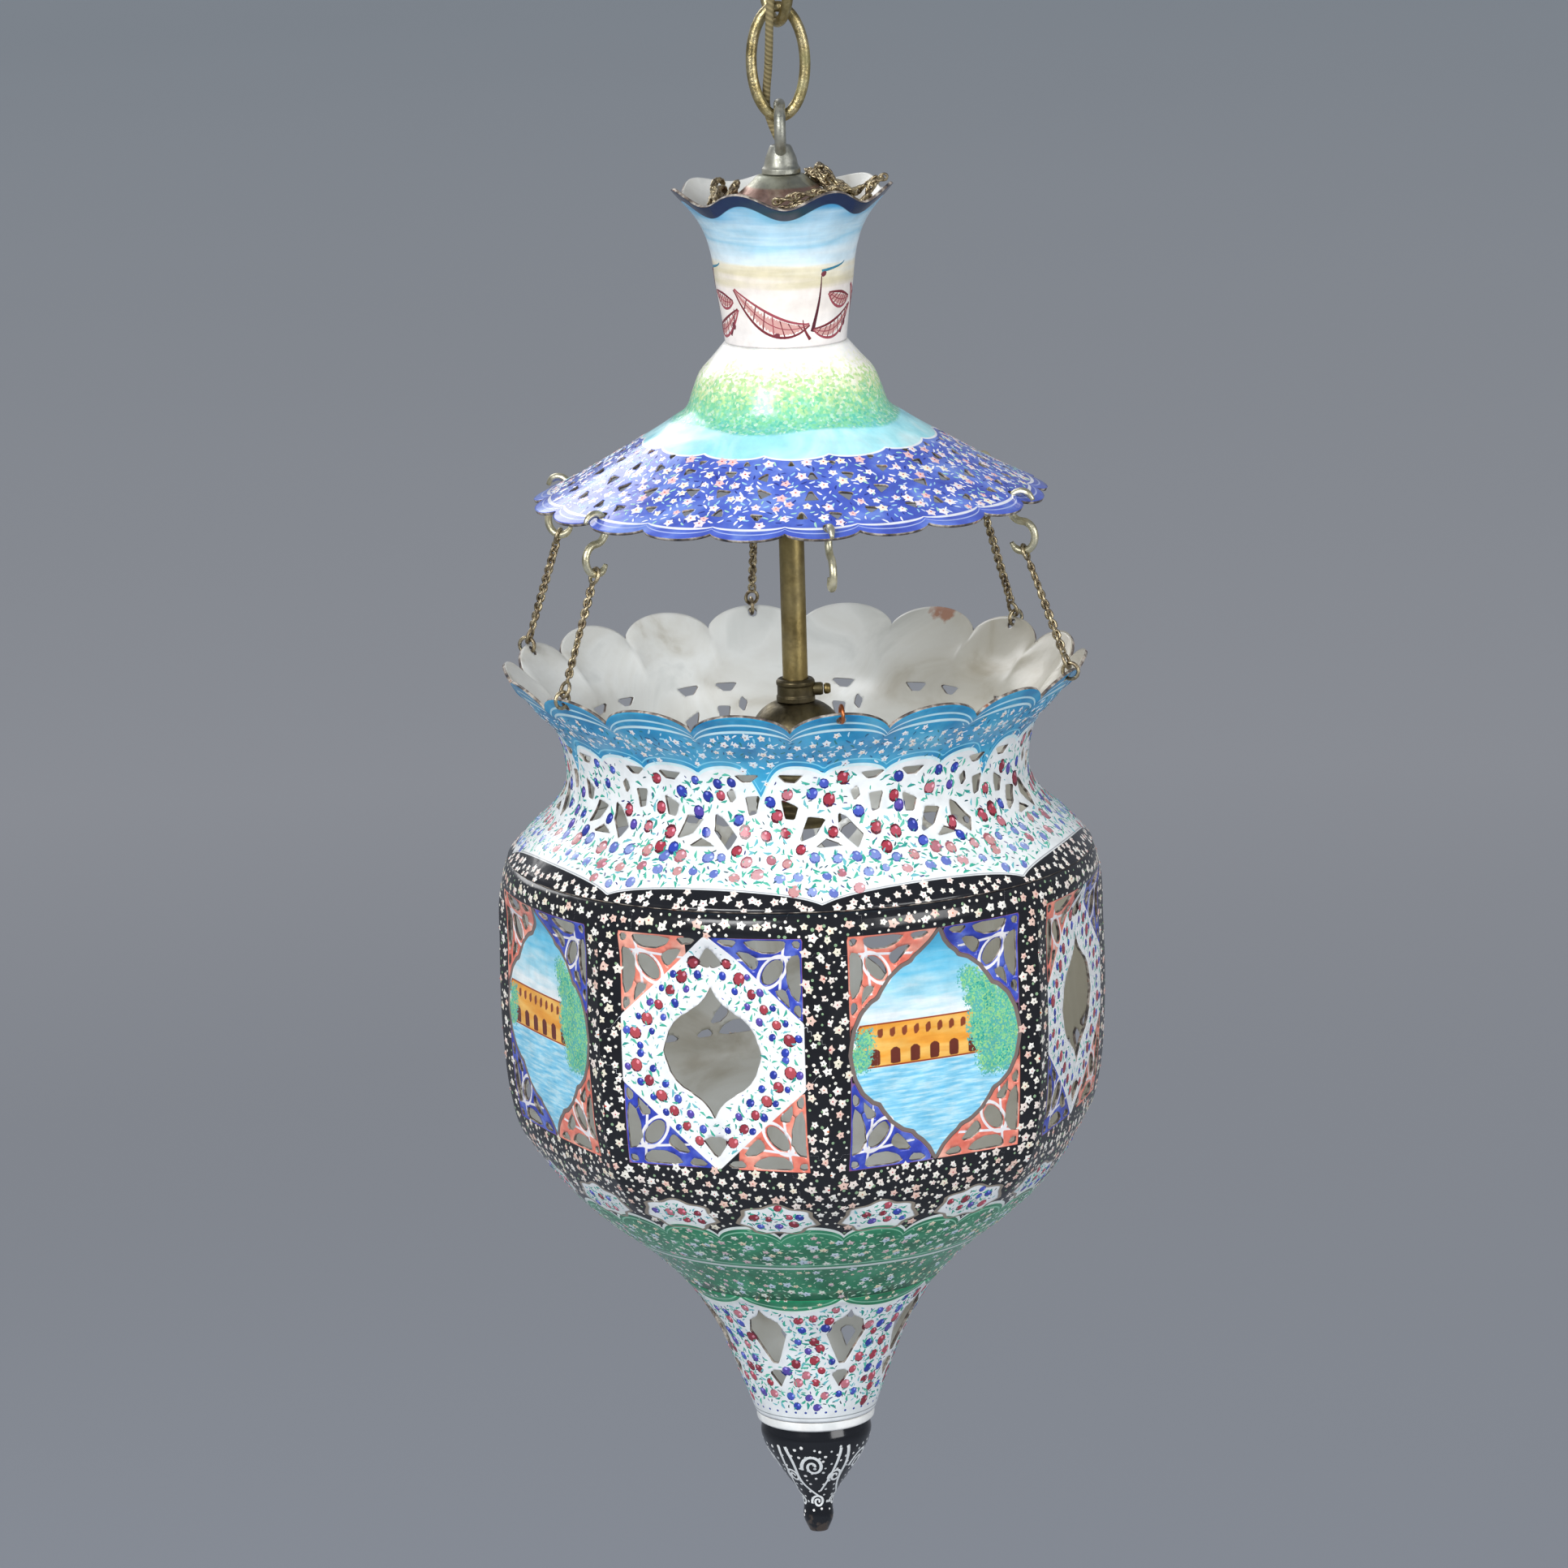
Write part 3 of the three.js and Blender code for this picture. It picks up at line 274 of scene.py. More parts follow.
def shadeForm(angle, radius, height):
    # The scallops begin a little inside the brim
    shape = 2 * lobeShape(turnsOf(angle, brimLobes)) - 1
    share = smoothStep(radius, brimLobes["from"], brimLobes["to"])
    return radius + share * brimLobes["reach"] * shape, height + share * brimLobes["rise"] * shape


def neckForm(angle, radius, height):
    # The lobes rise within the band, and their flutes reach further down
    shape = 2 * lobeShape(turnsOf(angle, bowlLobes)) - 1
    rim = bowlLobes["rim"]
    flute = smoothStep(height, rim - bowlLobes["flute"], rim)
    share = smoothStep(height, rim - bowlLobes["band"], rim)
    return radius + flute * bowlLobes["reach"] * shape, height + share * bowlLobes["rise"] * shape


def bellyForm(angle, radius, height):
    # Eight soft sides: each is drawn in towards its chord, fully between the shoulder and the foot
    turns = (angle - bellySides["first"]) / bellySides["turn"]
    fromMiddle = (turns - np.floor(turns) - 0.5) * bellySides["turn"]
    flat = math.cos(math.radians(bellySides["turn"] / 2)) / np.cos(np.radians(fromMiddle))
    share = (bellySides["flatness"] * (1 - smoothStep(height, *bellySides["shoulder"]))
             * (1 - smoothStep(-height, *bellySides["foot"])))
    return radius * (1 - share * (1 - flat)), height


crown = outlineOf((23.9, 178.53), (24.9, 187.5), (26.9, 200.5), (28.8, 214.5), (30.5, 220.5), (33.1, 226),
                  (42.5, 237.5), form=crownForm)
shade = outlineOf((99.5, 117.5), (90, 122.1), (66, 135.7), (46, 148), (40.3, 152), (37.2, 159.5), (34.3, 166.5),
                  (29.5, 172), (23.9, 178.5), form=shadeForm)
neck = outlineOf((116.4, -25.2), (108.2, -16), (98.3, -7), (92.5, 3), (92.4, 16), (95.9, 27), (104.7, 37.5),
                 (113.5, 47), form=neckForm)
belly = outlineOf((53.8, -197.7), (64.3, -187), (81.7, -173), (97.2, -158.5), (109.7, -144), (114.3, -137),
                  (118.6, -121), (120.6, -100), (120.9, -60), (119.6, -36), (116.4, -25.5), form=bellyForm)
cone = outlineOf((24.3, -257.5), (30, -242), (33.8, -232), (38, -222), (46, -208), (50.2, -201.8),
                 (52.7, -199.2), (53.55, -197.85))

# Meshes with openings: which faces each pattern of solid corners a b c d keeps
cases = {
    1: ["a ab da"], 2: ["b bc ab"], 3: ["a b bc da"], 4: ["c cd bc"], 5: ["a ab da", "c cd bc"], 6: ["b c cd ab"],
    7: ["a b c cd da"], 8: ["d da cd"], 9: ["a ab cd d"], 10: ["b bc ab", "d da cd"], 11: ["a b bc cd d"],
    12: ["c d da bc"], 13: ["a ab bc c d"], 14: ["b c d da ab"], 15: ["a b c d"],
}


def piercedShell(angles, alongs, openings):
    # Grid of (angle, along) closed round the axis. Cells are cut where the openings' field changes
    # sign, at the point where a straight line between two corners crosses zero
    rows, columns = len(alongs), len(angles)
    angleGrid, alongGrid = np.meshgrid(angles, alongs)
    field = openings(angleGrid, alongGrid)
    field = np.where(np.abs(field) < 0.06, np.where(field < 0, -0.06, 0.06), field)
    right = np.roll(field, -1, axis=1)
    crossAcross = (field < 0) != (right < 0)
    crossUp = (field[:-1] < 0) != (field[1:] < 0)
    acrossShare = (field / (field - right))[crossAcross]
    upShare = (field[:-1] / (field[:-1] - field[1:]))[crossUp]
    count = rows * columns
    corner = np.arange(count).reshape(rows, columns)
    across = np.full((rows, columns), -1)
    across[crossAcross] = count + np.arange(crossAcross.sum())
    upward = np.full((rows - 1, columns), -1)
    upward[crossUp] = count + crossAcross.sum() + np.arange(crossUp.sum())
    angle = np.concatenate([angleGrid.ravel(), angleGrid[crossAcross] + acrossShare * 360 / columns,
                            angleGrid[:-1][crossUp]])
    along = np.concatenate([alongGrid.ravel(), alongGrid[crossAcross],
                            alongGrid[:-1][crossUp] + upShare * np.diff(alongGrid, axis=0)[crossUp]])
    beside = np.roll(corner, -1, axis=1)
    index = {
        "a": corner[:-1], "b": beside[:-1], "c": beside[1:], "d": corner[1:],
        "ab": across[:-1], "bc": np.roll(upward, -1, axis=1), "cd": across[1:], "da": upward,
    }
    solid = field >= 0
    nextSolid = np.roll(solid, -1, axis=1)
    code = solid[:-1] + 2 * nextSolid[:-1] + 4 * nextSolid[1:] + 8 * solid[1:]
    faces = [np.stack([index[key][code == number] for key in shape.split()], -1)
             for number, shapes in cases.items() for shape in shapes]
    used = np.zeros(len(angle), bool)
    for part in faces:
        used[part.ravel()] = True
    renumber = np.cumsum(used) - 1
    return angle[used], along[used], [renumber[part] for part in faces if len(part)]


def polygonField(x, y, corners):
    # Signed distance to a closed polygon, negative inside: the nearest edge, and the side from how
    # many edges a level line crosses
    corners = np.asarray(corners, float)
    nearest = np.full(np.shape(x), 1e9)
    inside = np.zeros(np.shape(x), bool)
    for (ax, ay), (bx, by) in zip(corners, np.roll(corners, -1, axis=0)):
        ex, ey = bx - ax, by - ay
        t = np.clip(((x - ax) * ex + (y - ay) * ey) / (ex * ex + ey * ey), 0, 1)
        nearest = np.minimum(nearest, np.hypot(x - ax - t * ex, y - ay - t * ey))
        if ey:
            inside ^= ((ay > y) != (by > y)) & (x < ex * (y - ay) / ey + ax)
    return np.where(inside, -nearest, nearest)


def nearestOf(angle, first, count):
    # Offset in degrees from the nearest of count places round the axis, and that place's number
    turns = (angle - first) * count / 360
    number = np.round(turns)
    return (turns - number) * 360 / count, number.astype(int) % count


def offsetFrom(angle, middle):
    # Degrees from one angle, between -180 and 180
    return (angle - middle + 180) % 360 - 180


# Painted decoration


def domeOf(sides, halfWidth, halfHeight, rise, bend=0.0, sharp=0.0, notch=1.0):
    # Small raised blob: a middle point and a rim, every other rim point drawn in to notch, the upper
    # end drawn out by sharp and leant by bend
    turns = np.arange(sides) * 2 * math.pi / sides
    ripple = np.where(np.arange(sides) % 2, notch, 1.0)
    x, y = halfWidth * ripple * np.sin(turns), halfHeight * ripple * np.cos(turns)
    x = x * (1 - sharp * np.clip(y / halfHeight, 0, 1)) + bend * (y / halfHeight) ** 2
    rim = np.arange(1, sides + 1)
    return {
        "points": np.column_stack([np.r_[0, x], np.r_[0, y], np.r_[rise, np.full(sides, -0.03)]]),
        "faces": np.column_stack([np.zeros(sides, int), np.roll(rim, -1), rim]),
    }


blossom = domeOf(10, 1, 1, 0.16, notch=0.62)
centreDot = domeOf(5, 0.34, 0.34, 0.24)
berry = domeOf(8, 0.8, 1, 0.2)
leaf = domeOf(7, 0.42, 1.25, 0.12, bend=0.35, sharp=0.7)
dash = domeOf(6, 0.3, 1, 0.13, bend=0.2)
roundDot = domeOf(6, 1, 1, 0.15)
budRim = domeOf(10, 0.98, 1.12, 0.1)
budBall = domeOf(9, 0.82, 0.92, 0.2)
budBall["points"][0, :2] = (0.1, 0.12)
budLight = domeOf(6, 0.34, 0.42, 0.26)
budLight["points"][:, :2] += (0.22, 0.3)


def stamp(shell, shape, places, sizes, turns, colours):
    # One raised motif at every place: its points turned and scaled in the surface, then laid on it
    places, sizes, turns = np.asarray(places, float), np.asarray(sizes, float), np.radians(turns)
    colours = np.broadcast_to(np.asarray(colours, float), (len(places), 4))
    x = shape["points"][None, :, 0] * sizes[:, None]
    y = shape["points"][None, :, 1] * sizes[:, None]
    cosine, sine = np.cos(turns)[:, None], np.sin(turns)[:, None]
    across, up = x * cosine + y * sine, y * cosine - x * sine
    radius = radiusOf(shell, places[:, 1])[:, None]
    angle = places[:, :1] + np.degrees(across / np.maximum(radius, 3))
    along = np.clip(places[:, 1:] + up, 0, shell["length"])
    lift = (shape["points"][None, :, 2] * np.clip(sizes[:, None], 0.5, 1.6)) / 1000
    points = spotOn(shell, angle, along) + normalOn(shell, angle, along) * lift[..., None]
    count = shape["points"].shape[0]
    faces = shape["faces"][None] + (np.arange(len(places)) * count)[:, None, None]
    return points.reshape(-1, 3), faces.reshape(-1, 3), np.repeat(colours, count, axis=0)


def brushLine(shell, path, widths, colour, rise=0.14):
    # A painted line: its path (angle, along) gets a left, a middle and a right edge; the middle is raised
    path = np.asarray(path, float)
    radius = np.maximum(radiusOf(shell, path[:, 1]), 3)
    ahead = np.gradient(np.column_stack([np.radians(path[:, 0]) * radius.mean(), path[:, 1]]), axis=0)
    ahead /= np.maximum(np.linalg.norm(ahead, axis=1, keepdims=True), 1e-9)
    side = np.column_stack([-ahead[:, 1], ahead[:, 0]]) * np.broadcast_to(widths, len(path))[:, None] / 2
    rails = []
    for share, lift in ((1, -0.02), (0, rise), (-1, -0.02)):
        angle = path[:, 0] + np.degrees(share * side[:, 0] / radius)
        along = np.clip(path[:, 1] + share * side[:, 1], 0, shell["length"])
        rails.append(spotOn(shell, angle, along) + normalOn(shell, angle, along) * lift / 1000)
    index = np.arange(len(path) * 3).reshape(-1, 3)
    faces = np.concatenate([np.stack([index[:-1, k], index[:-1, k + 1], index[1:, k + 1], index[1:, k]], -1)
                            for k in (0, 1)])
    faces = np.concatenate([faces[:, [0, 1, 2]], faces[:, [0, 2, 3]]])
    colours = np.broadcast_to(linear(colour), (len(index) * 3, 4))
    return np.stack(rails, 1).reshape(-1, 3), faces, colours


def scatter(shell, low, high, pitch, keep, jitter=0.28):
    # Places about pitch apart in rows round the shell, moved a little at random, where keep is true
    found = []
    for row, along in enumerate(np.arange(low, high, pitch * 0.88)):
        count = max(int(2 * math.pi * float(radiusOf(shell, along)) / pitch), 6)
        angle = (np.arange(count) + 0.5 * (row % 2)) * 360 / count
        moved = randomPlaces.uniform(-jitter, jitter, (2, count))
        found.append(np.column_stack([angle + moved[0] * 360 / count, along + moved[1] * pitch]))
    places = np.concatenate(found)
    places = places[(places[:, 1] > low) & (places[:, 1] < high)]
    return places[keep(places[:, 0], places[:, 1])]


def picked(colours, count):
    # One of the colours for each motif, drawn at random
    return np.array([linear(colour) for colour in colours])[randomPlaces.integers(0, len(colours), count)]


def flowers(shell, low, high, pitch, keep, colours, centre=None, shape=blossom, size=1.7):
    # Scattered motifs of mixed colours, each turned at random, with a second small dot in the middle if asked
    places = scatter(shell, low, high, pitch, keep)
    sizes = size * (1 + randomPlaces.uniform(-0.25, 0.25, len(places)))
    turns = randomPlaces.uniform(0, 360, len(places))
    parts = [stamp(shell, shape, places, sizes, turns, picked(colours, len(places)))]
    if centre:
        parts.append(stamp(shell, centreDot, places, sizes, turns, picked(centre, len(places))))
    return parts


def decoration(name, parts, body):
    # All the painted motifs of one shell in one mesh, coloured by its paint attribute
    points, faces = joined(parts)
    addPiece(name, points, faces, [overglaze], body, colours=np.concatenate([part[2] for part in parts]))
    print(name, len(faces), "faces")


def clear(*fields):
    # True where every field is positive
    return np.minimum.reduce(fields) > 0


# Overglaze enamel: small opaque glass paints, raised a little and glossy
overglaze, add, spot = newMaterial("overglaze enamel paint", "#f4f2ee", Roughness=0.22)
grain = add("TexNoise", {"Scale": 900, "Detail": 2, "Vector": spot})
uneven = add("MapRange", {0: grain, 3: 0.82, 4: 1.12})
paint = add("Attribute", attribute_name="paint")
joinTo(overglaze, Base_Color=add("VectorMath", {0: paint, "Scale": uneven}, operation="SCALE"))

# Counter-enamel: thin grey-white enamel fired on the inside, cloudy, and darker and yellower towards the right (+X)
# side
chip = {"place": (0.0655, 0.0985, -0.3255), "swing": 0.006, "outer": 0.0085, "inner": 0.0065}
counterEnamel, add, spot = newMaterial("counter enamel", "#c9ccca", Roughness=0.3)
cloudy = wash(22, (0.28, "#b3afa3"), (0.42, "#d5d6d2"), (0.6, "#e2e5e4"), (0.75, "#cacecd"), Detail=5,
              Distortion=1.6)(add, spot)
# A darker yellow-grey tint that grows from 2 cm to 11 cm out towards +X, the right side, up to three quarters
# strength
rightSideTint = add("MapRange", (add("SeparateXYZ", (spot,)), 0.02, 0.11, 0.0, 0.75))
# A chip at the back of the bowl's rim, where the copper has rusted brown
chipReach = add("VectorMath", (spot, chip["place"]), "Value", operation="DISTANCE")
chipNoise = add("TexNoise", {"Scale": 190, "Detail": 4, "Vector": spot})
chipSwing = add("MapRange", {0: chipNoise, 3: -chip["swing"], 4: chip["swing"]})
chipEdge = add("Math", (chipReach, chipSwing), operation="ADD")
chipShare = add("MapRange", (chipEdge, chip["outer"], chip["inner"]))
ripples = add("TexNoise", {"Scale": 60, "Detail": 3, "Vector": spot})
joinTo(counterEnamel, Base_Color=coats(add, cloudy, (rightSideTint, "#aea58c"), (chipShare, "#ae8470")),
       Normal=add("Bump", {"Strength": 0.25, "Distance": 0.002, "Height": ripples}))

# Sheet edge: enamel worn off the cut edges, so dark fired copper shows
sheetEdge, add, spot = newMaterial("worn enamel on copper edge", "#5a4a40", Roughness=0.45)
joinTo(sheetEdge, Base_Color=wash(260, (0.3, "#2b2a30"), (0.48, "#6d625a"), (0.62, "#b8b2a8"), (0.75, "#8a4f33"),
                                  Detail=3)(add, spot))


def enamel(name, base, layers, lines=()):
    # Fired enamel paint: a base colour, then each layer where its attribute is above zero, then
    # lines where an attribute is within half a line's width of a level. Pooled glass varies in depth
    # and the hammered copper below leaves slow waves in the gloss
    gloss = 0.16
    plain = isinstance(base, str)
    material, add, spot = newMaterial(name, base if plain else "#ffffff", Roughness=gloss)
    colour = base if plain else base(add, spot)
    for key, soft, tint in layers:
        share = add("MapRange", (add("Attribute", **painted(key)), -soft, soft))
        colour = coats(add, colour, (share, tint if isinstance(tint, str) else tint(add, spot)))
    for key, level, width, tint in lines:
        away = add("Math", (add("Attribute", **painted(key)), level), operation="SUBTRACT")
        away = add("Math", (away,), operation="ABSOLUTE")
        colour = coats(add, colour, (add("MapRange", (away, width / 2 + 0.1, width / 2 - 0.1)), tint))
    pooled = add("TexNoise", {"Scale": 130, "Detail": 4, "Roughness": 0.6, "Vector": spot})
    deep = add("MapRange", (pooled, 0.25, 0.75, 0.86, 1.1))
    hammered = add("TexNoise", {"Scale": 70, "Detail": 2, "Vector": spot})
    joinTo(material, Base_Color=add("VectorMath", {0: colour, "Scale": deep}, operation="SCALE"),
           Roughness=add("MapRange", {0: pooled, 3: gloss * 0.7, 4: gloss * 1.6}),
           Normal=add("Bump", {"Strength": 0.35, "Distance": 0.0015, "Height": hammered}))
    return material


def enamelShell(name, shell, columns, first, alongs, openings, fields, material, body, node):
    # A pierced shell with its painted face outwards. The copper's thickness goes inwards from it
    angle, along, faces = piercedShell(np.arange(columns) * 360 / columns + first, alongs, openings)
    piece = addPiece(name, spotOn(shell, angle, along), faces, [material, counterEnamel, sheetEdge], body, node,
                     fields(angle, along))
    wall = piece.modifiers.new("sheet", "SOLIDIFY")
    wall.thickness = 0.0012
    wall.offset = -1
    wall.use_even_offset = False
    wall.material_offset = 1
    wall.material_offset_rim = 2


# Crown

crownLook = {
    "navy": "#1c2c48",
    "navyBand": 7.6,        # mm down from the rim
    "sprays": 3,            # leaf sprays round the waist
    "plum": "#7d3038",
    "crimson": "#a8505a",
    "pink": "#dba9a2",
}


def crownFields(angle, along):
    # The band's lower edge swings half as far as the rim's waves do
    band = crownLook["navyBand"] - 2.2 * waveShape(turnsOf(angle, crownWaves))
    return {"navy": band - (crown["length"] - along), "level": heightOf(crown, along)}


def sky(add, spot):
    # Brushed sky from deep blue under the rim to white at the waist, streaked level by the brush
    stretched = add("Mapping", {"Vector": spot, "Scale": (14, 14, 160)})
    streaks = add("TexNoise", {"Scale": 1.0, "Detail": 4, "Vector": stretched})
    swing = add("MapRange", (streaks, 0.3, 0.7, -5, 5))
    moved = add("Math", (add("Attribute", **painted("level")), swing), operation="ADD")
    return add("ValToRGB", (add("MapRange", (moved, 178, 234)),), stops=[
        (0.0, "#fdf8f4"), (0.4, "#f9efe6"), (0.5, "#e3d9b8"), (0.56, "#f0e9d2"), (0.62, "#e6f3f7"),
        (0.7, "#d3ebf5"), (0.78, "#a9d9ee"), (0.84, "#cdeaf6"), (0.92, "#8fcdea"), (1.0, "#57aede")])


def noOpenings(angle, along):
    # One everywhere: nothing is cut
    return np.ones(np.shape(angle))


crownEnamel = enamel("painted enamel, crown", sky, [("navy", 0.25, crownLook["navy"])])
enamelShell("crown_shell", crown, 7 * 48, crownWaves["first"], np.linspace(0, crown["length"], 96),
            noOpenings, crownFields, crownEnamel, "lamp", "crown")


def crescentLeaf(angle, along, side, length, width, climb):
    # A long leaf on an arc: a pale filling, two dark edges that meet at both tips, and short ribs
    t = np.linspace(0, 1, 26)
    radius = float(radiusOf(crown, along))
    middle = np.column_stack([side * length * t, climb * t ** 1.5 - 0.16 * length * np.sin(math.pi * t)])
    half = width * np.sin(math.pi * np.clip(t, 0.02, 0.98)) ** 0.8
    way = np.gradient(middle, axis=0)
    way /= np.linalg.norm(way, axis=1, keepdims=True)
    normal = np.column_stack([-way[:, 1], way[:, 0]])
    plum, crimson = crownLook["plum"], crownLook["crimson"]

    def line(points, widths, colour, rise):
        path = np.column_stack([angle + np.degrees(points[:, 0] / radius), along + points[:, 1]])
        return brushLine(crown, path, widths, colour, rise)

    swell = np.sin(math.pi * t)
    parts = [line(middle, 2 * half, crownLook["pink"], 0.04)]
    for share, tint in ((1, plum), (-1, crimson)):
        parts.append(line(middle + share * half[:, None] * normal, 0.75 + 0.5 * swell, tint, 0.16))
    parts.append(line(middle, 0.4 + 0.3 * swell, crimson, 0.14))
    for k in range(3, 23, 3):
        rib = middle[k] + np.linspace(-0.85, 0.85, 5)[:, None] * half[k] * (normal[k] + 0.5 * side * way[k])
        parts.append(line(rib, 0.55, plum if k % 4 else crimson, 0.16))
    return parts


def stalk(angle, along, across, climb, width, colour):
    # One brushed stroke, thick where the brush was set down
    t = np.linspace(0, 1, 16)
    turned = np.degrees(across * (t + 0.25 * np.sin(math.pi * t)) / float(radiusOf(crown, along)))
    return brushLine(crown, np.column_stack([angle + turned, along + climb * t]), width * (1 - 0.75 * t), colour)


# Each spray's leaves and stalks, from its own middle angle
sprayLeaves = [(0, 9, -1, 30, 3.9, 14), (4, 7, 1, 21, 3.1, 8), (18, 21, 1, 14, 3.0, -3)]
sprayStalks = [(3, 6, 3, 22, 1.9, "#5a2630"), (1, 3, -3, 8, 1.5, "#7d3038"), (38, 4, 4, 11, 1.3, "#6a2c38"),
               (10, 30, 12, 3, 1.5, "#3f86a0")]
crownParts = []
for number in range(crownLook["sprays"]):
    middle = 22 + number * 360 / crownLook["sprays"]
    for angle, *values in sprayLeaves:
        crownParts += crescentLeaf(middle + angle, *values)
    crownParts += [stalk(middle + angle, *values) for angle, *values in sprayStalks]
    berries = [(middle + 12, 29), (middle + 44, 8), (middle - 30, 5)]
    crownParts.append(stamp(crown, berry, berries, [1.7, 1.9, 1.5], [40, 0, 70], linear("#7a3a44")))
decoration("crown_painting", crownParts, "lamp")

# Shade

shadeLook = {
    "paleBand": 48.0,       # mm up from the brim
    # Rows of openings: mm from the brim, size, how many, first angle
    "rows": [(14.5, 0.95, 36, 2), (26.5, 1.1, 30, 5), (38, 0.9, 26, 6.5), (45.4, 0.6, 22, 0)],
    "piercing": [(-2.6, -2.2), (2.6, -2.2), (0.6, 2.8), (-0.6, 2.8)],
    "hookHole": 2.2,
    "hookBack": 3.6,        # the hook holes lie this far inside the hooks' seats
}
hangerAngles = [8.6 + 60 * k for k in range(6)]
# The hooks seat by turns on a scallop's tip and in a notch: radius and height of the seat
hookSeats = [(99.011, 117.74), (96.67, 118.87)] * 3


def hookHoleLevel(angle, radius, top=14):
    # How far along the shade's finished outline it reaches a radius, looked up below top
    tries = np.linspace(0, top, 200)
    reach = np.hypot(*spotOn(shade, angle, tries)[:, :2].T) * 1000
    return float(np.interp(-radius, -reach, tries))


hookHoleLevels = [hookHoleLevel(angle, seat[0] - shadeLook["hookBack"])
                  for angle, seat in zip(hangerAngles, hookSeats)]


def shadeOpenings(angle, along):
    # Four rows of small openings, each turned its own way, and the six hook holes near the brim
    field = np.full(np.shape(angle), 50.0)
    radius = radiusOf(shade, along)
    for level, size, count, first in shadeLook["rows"]:
        away, number = nearestOf(angle, first, count)
        x = np.radians(away) * radius / size + 1.2 * np.where(number % 3, 1, -1)
        y = (along - level) / size + 1.4 * np.where(number % 5 < 2, 1, -0.5)
        turn = np.radians(80 * np.sin(number * 2.4))
        x, y = x * np.cos(turn) + y * np.sin(turn), y * np.cos(turn) - x * np.sin(turn)
        field = np.minimum(field, polygonField(x, y, shadeLook["piercing"]) * size)
    for hanger, level in zip(hangerAngles, hookHoleLevels):
        reach = np.hypot(np.radians(offsetFrom(angle, hanger)) * radius, along - level)
        field = np.minimum(field, reach - shadeLook["hookHole"])
    return field


def shadeFields(angle, along):
    # The cobalt ends in fourteen scallops, the pale water above it in a slow wave
    scallops = lobeShape((angle - 3) * 14 / 360)
    return {
        "up": along,
        "cobalt": shadeLook["paleBand"] + 1.6 - 2.6 * scallops - along,
        "paleEdge": 62.5 + 1.5 * np.sin(np.radians(angle * 5)) - along,
    }


def meadow(add, spot):
    # White glaze going down into yellow-green, green and teal dabs: two sizes of stippling
    cells = add("TexVoronoi", {"Scale": 900, "Vector": spot}, "Color")
    dabs, specks = add("SeparateColor", (cells,)), add("SeparateColor", (cells,), 1)
    clumps = add("TexNoise", {"Scale": 210, "Detail": 6, "Roughness": 0.75, "Vector": spot})
    both = add("Math", (dabs, clumps), operation="ADD")
    swing = add("MapRange", (both, 0.3, 1.5, -8, 8))
    moved = add("Math", (add("Attribute", **painted("up")), swing), operation="ADD")
    washed = add("ValToRGB", (add("MapRange", (moved, 55, 100)),), stops=[
        (0.0, "#58bcc4"), (0.12, "#7ccfc8"), (0.22, "#5fc4a8"), (0.32, "#8edab6"), (0.42, "#7cd09c"),
        (0.52, "#b0e2ac"), (0.6, "#c0e49c"), (0.69, "#e8f2c4"), (0.8, "#fffdf0"), (1.0, "#fdfdfb")])
    return coats(add, washed, (add("MapRange", (specks, 0.75, 0.95, 0.0, 0.45)), "#f2fbf2"))


# Washes of transparent and opaque glass, each bluer, greener or redder where it pooled
paleWater = wash(45, (0.3, "#86dcee"), (0.5, "#b0edf6"), (0.72, "#dcf6fa"), Detail=5, Distortion=1.0)
cobaltGlaze = wash(75, (0.3, "#3d50b6"), (0.5, "#5068cc"), (0.7, "#7592e2"))
turquoiseGlaze = wash(60, (0.3, "#187eb4"), (0.5, "#2a9acc"), (0.72, "#52b6dc"))
coralGlaze = wash(120, (0.3, "#e06c5a"), (0.5, "#f08c78"), (0.72, "#f8bca8"))
deepBlueGlaze = wash(120, (0.3, "#27349c"), (0.5, "#3a4cbc"), (0.72, "#6a80d8"))
greenGlaze = wash(80, (0.3, "#14704a"), (0.5, "#1f8c60"), (0.72, "#3fa678"))
whiteGlaze = wash(90, (0.3, "#e2e6e6"), (0.5, "#f2f4f3"), (0.72, "#fbfbf8"))

shadeEnamel = enamel(
    "painted enamel, shade", meadow, [("paleEdge", 0.8, paleWater), ("cobalt", 0.2, cobaltGlaze)],
    [("up", 5.4, 1.0, "#e8ecf6"), ("up", 3.2, 0.5, "#a9b8ea"), ("cobalt", 0.0, 1.0, "#eef6fa")])
alongs = np.r_[np.linspace(0, 48, 58), np.linspace(48, shade["length"], 24)[1:]]
enamelShell("shade_shell", shade, 21 * 28, brimLobes["first"], alongs, shadeOpenings, shadeFields, shadeEnamel,
            "lamp", "shade")


def onCobalt(holes, edge, brim):
    # Keeps a place off the openings, the band's upper edge and the brim
    def keep(angle, along):
        return clear(shadeOpenings(angle, along) - holes, shadeFields(angle, along)["cobalt"] - edge, along - brim)
    return keep


decoration("shade_painting", [
    *flowers(shade, 7, 50, 7.0, onCobalt(1.6, 1.4, 7.5), ["#f8f4f6", "#f2e6ec", "#f3f0e2", "#f0c8cc"],
             ["#d8423c", "#e0603a", "#c03a5a"], size=2.7),
    *flowers(shade, 7, 50, 3.3, onCobalt(1.1, 1, 7),
             ["#eef2fa", "#cfe0f8", "#ffffff", "#9fd0ea", "#a8dcc8", "#2c3a90"], shape=dash, size=1.6),
], "lamp")
print("crown and shade done")

# Bowl neck

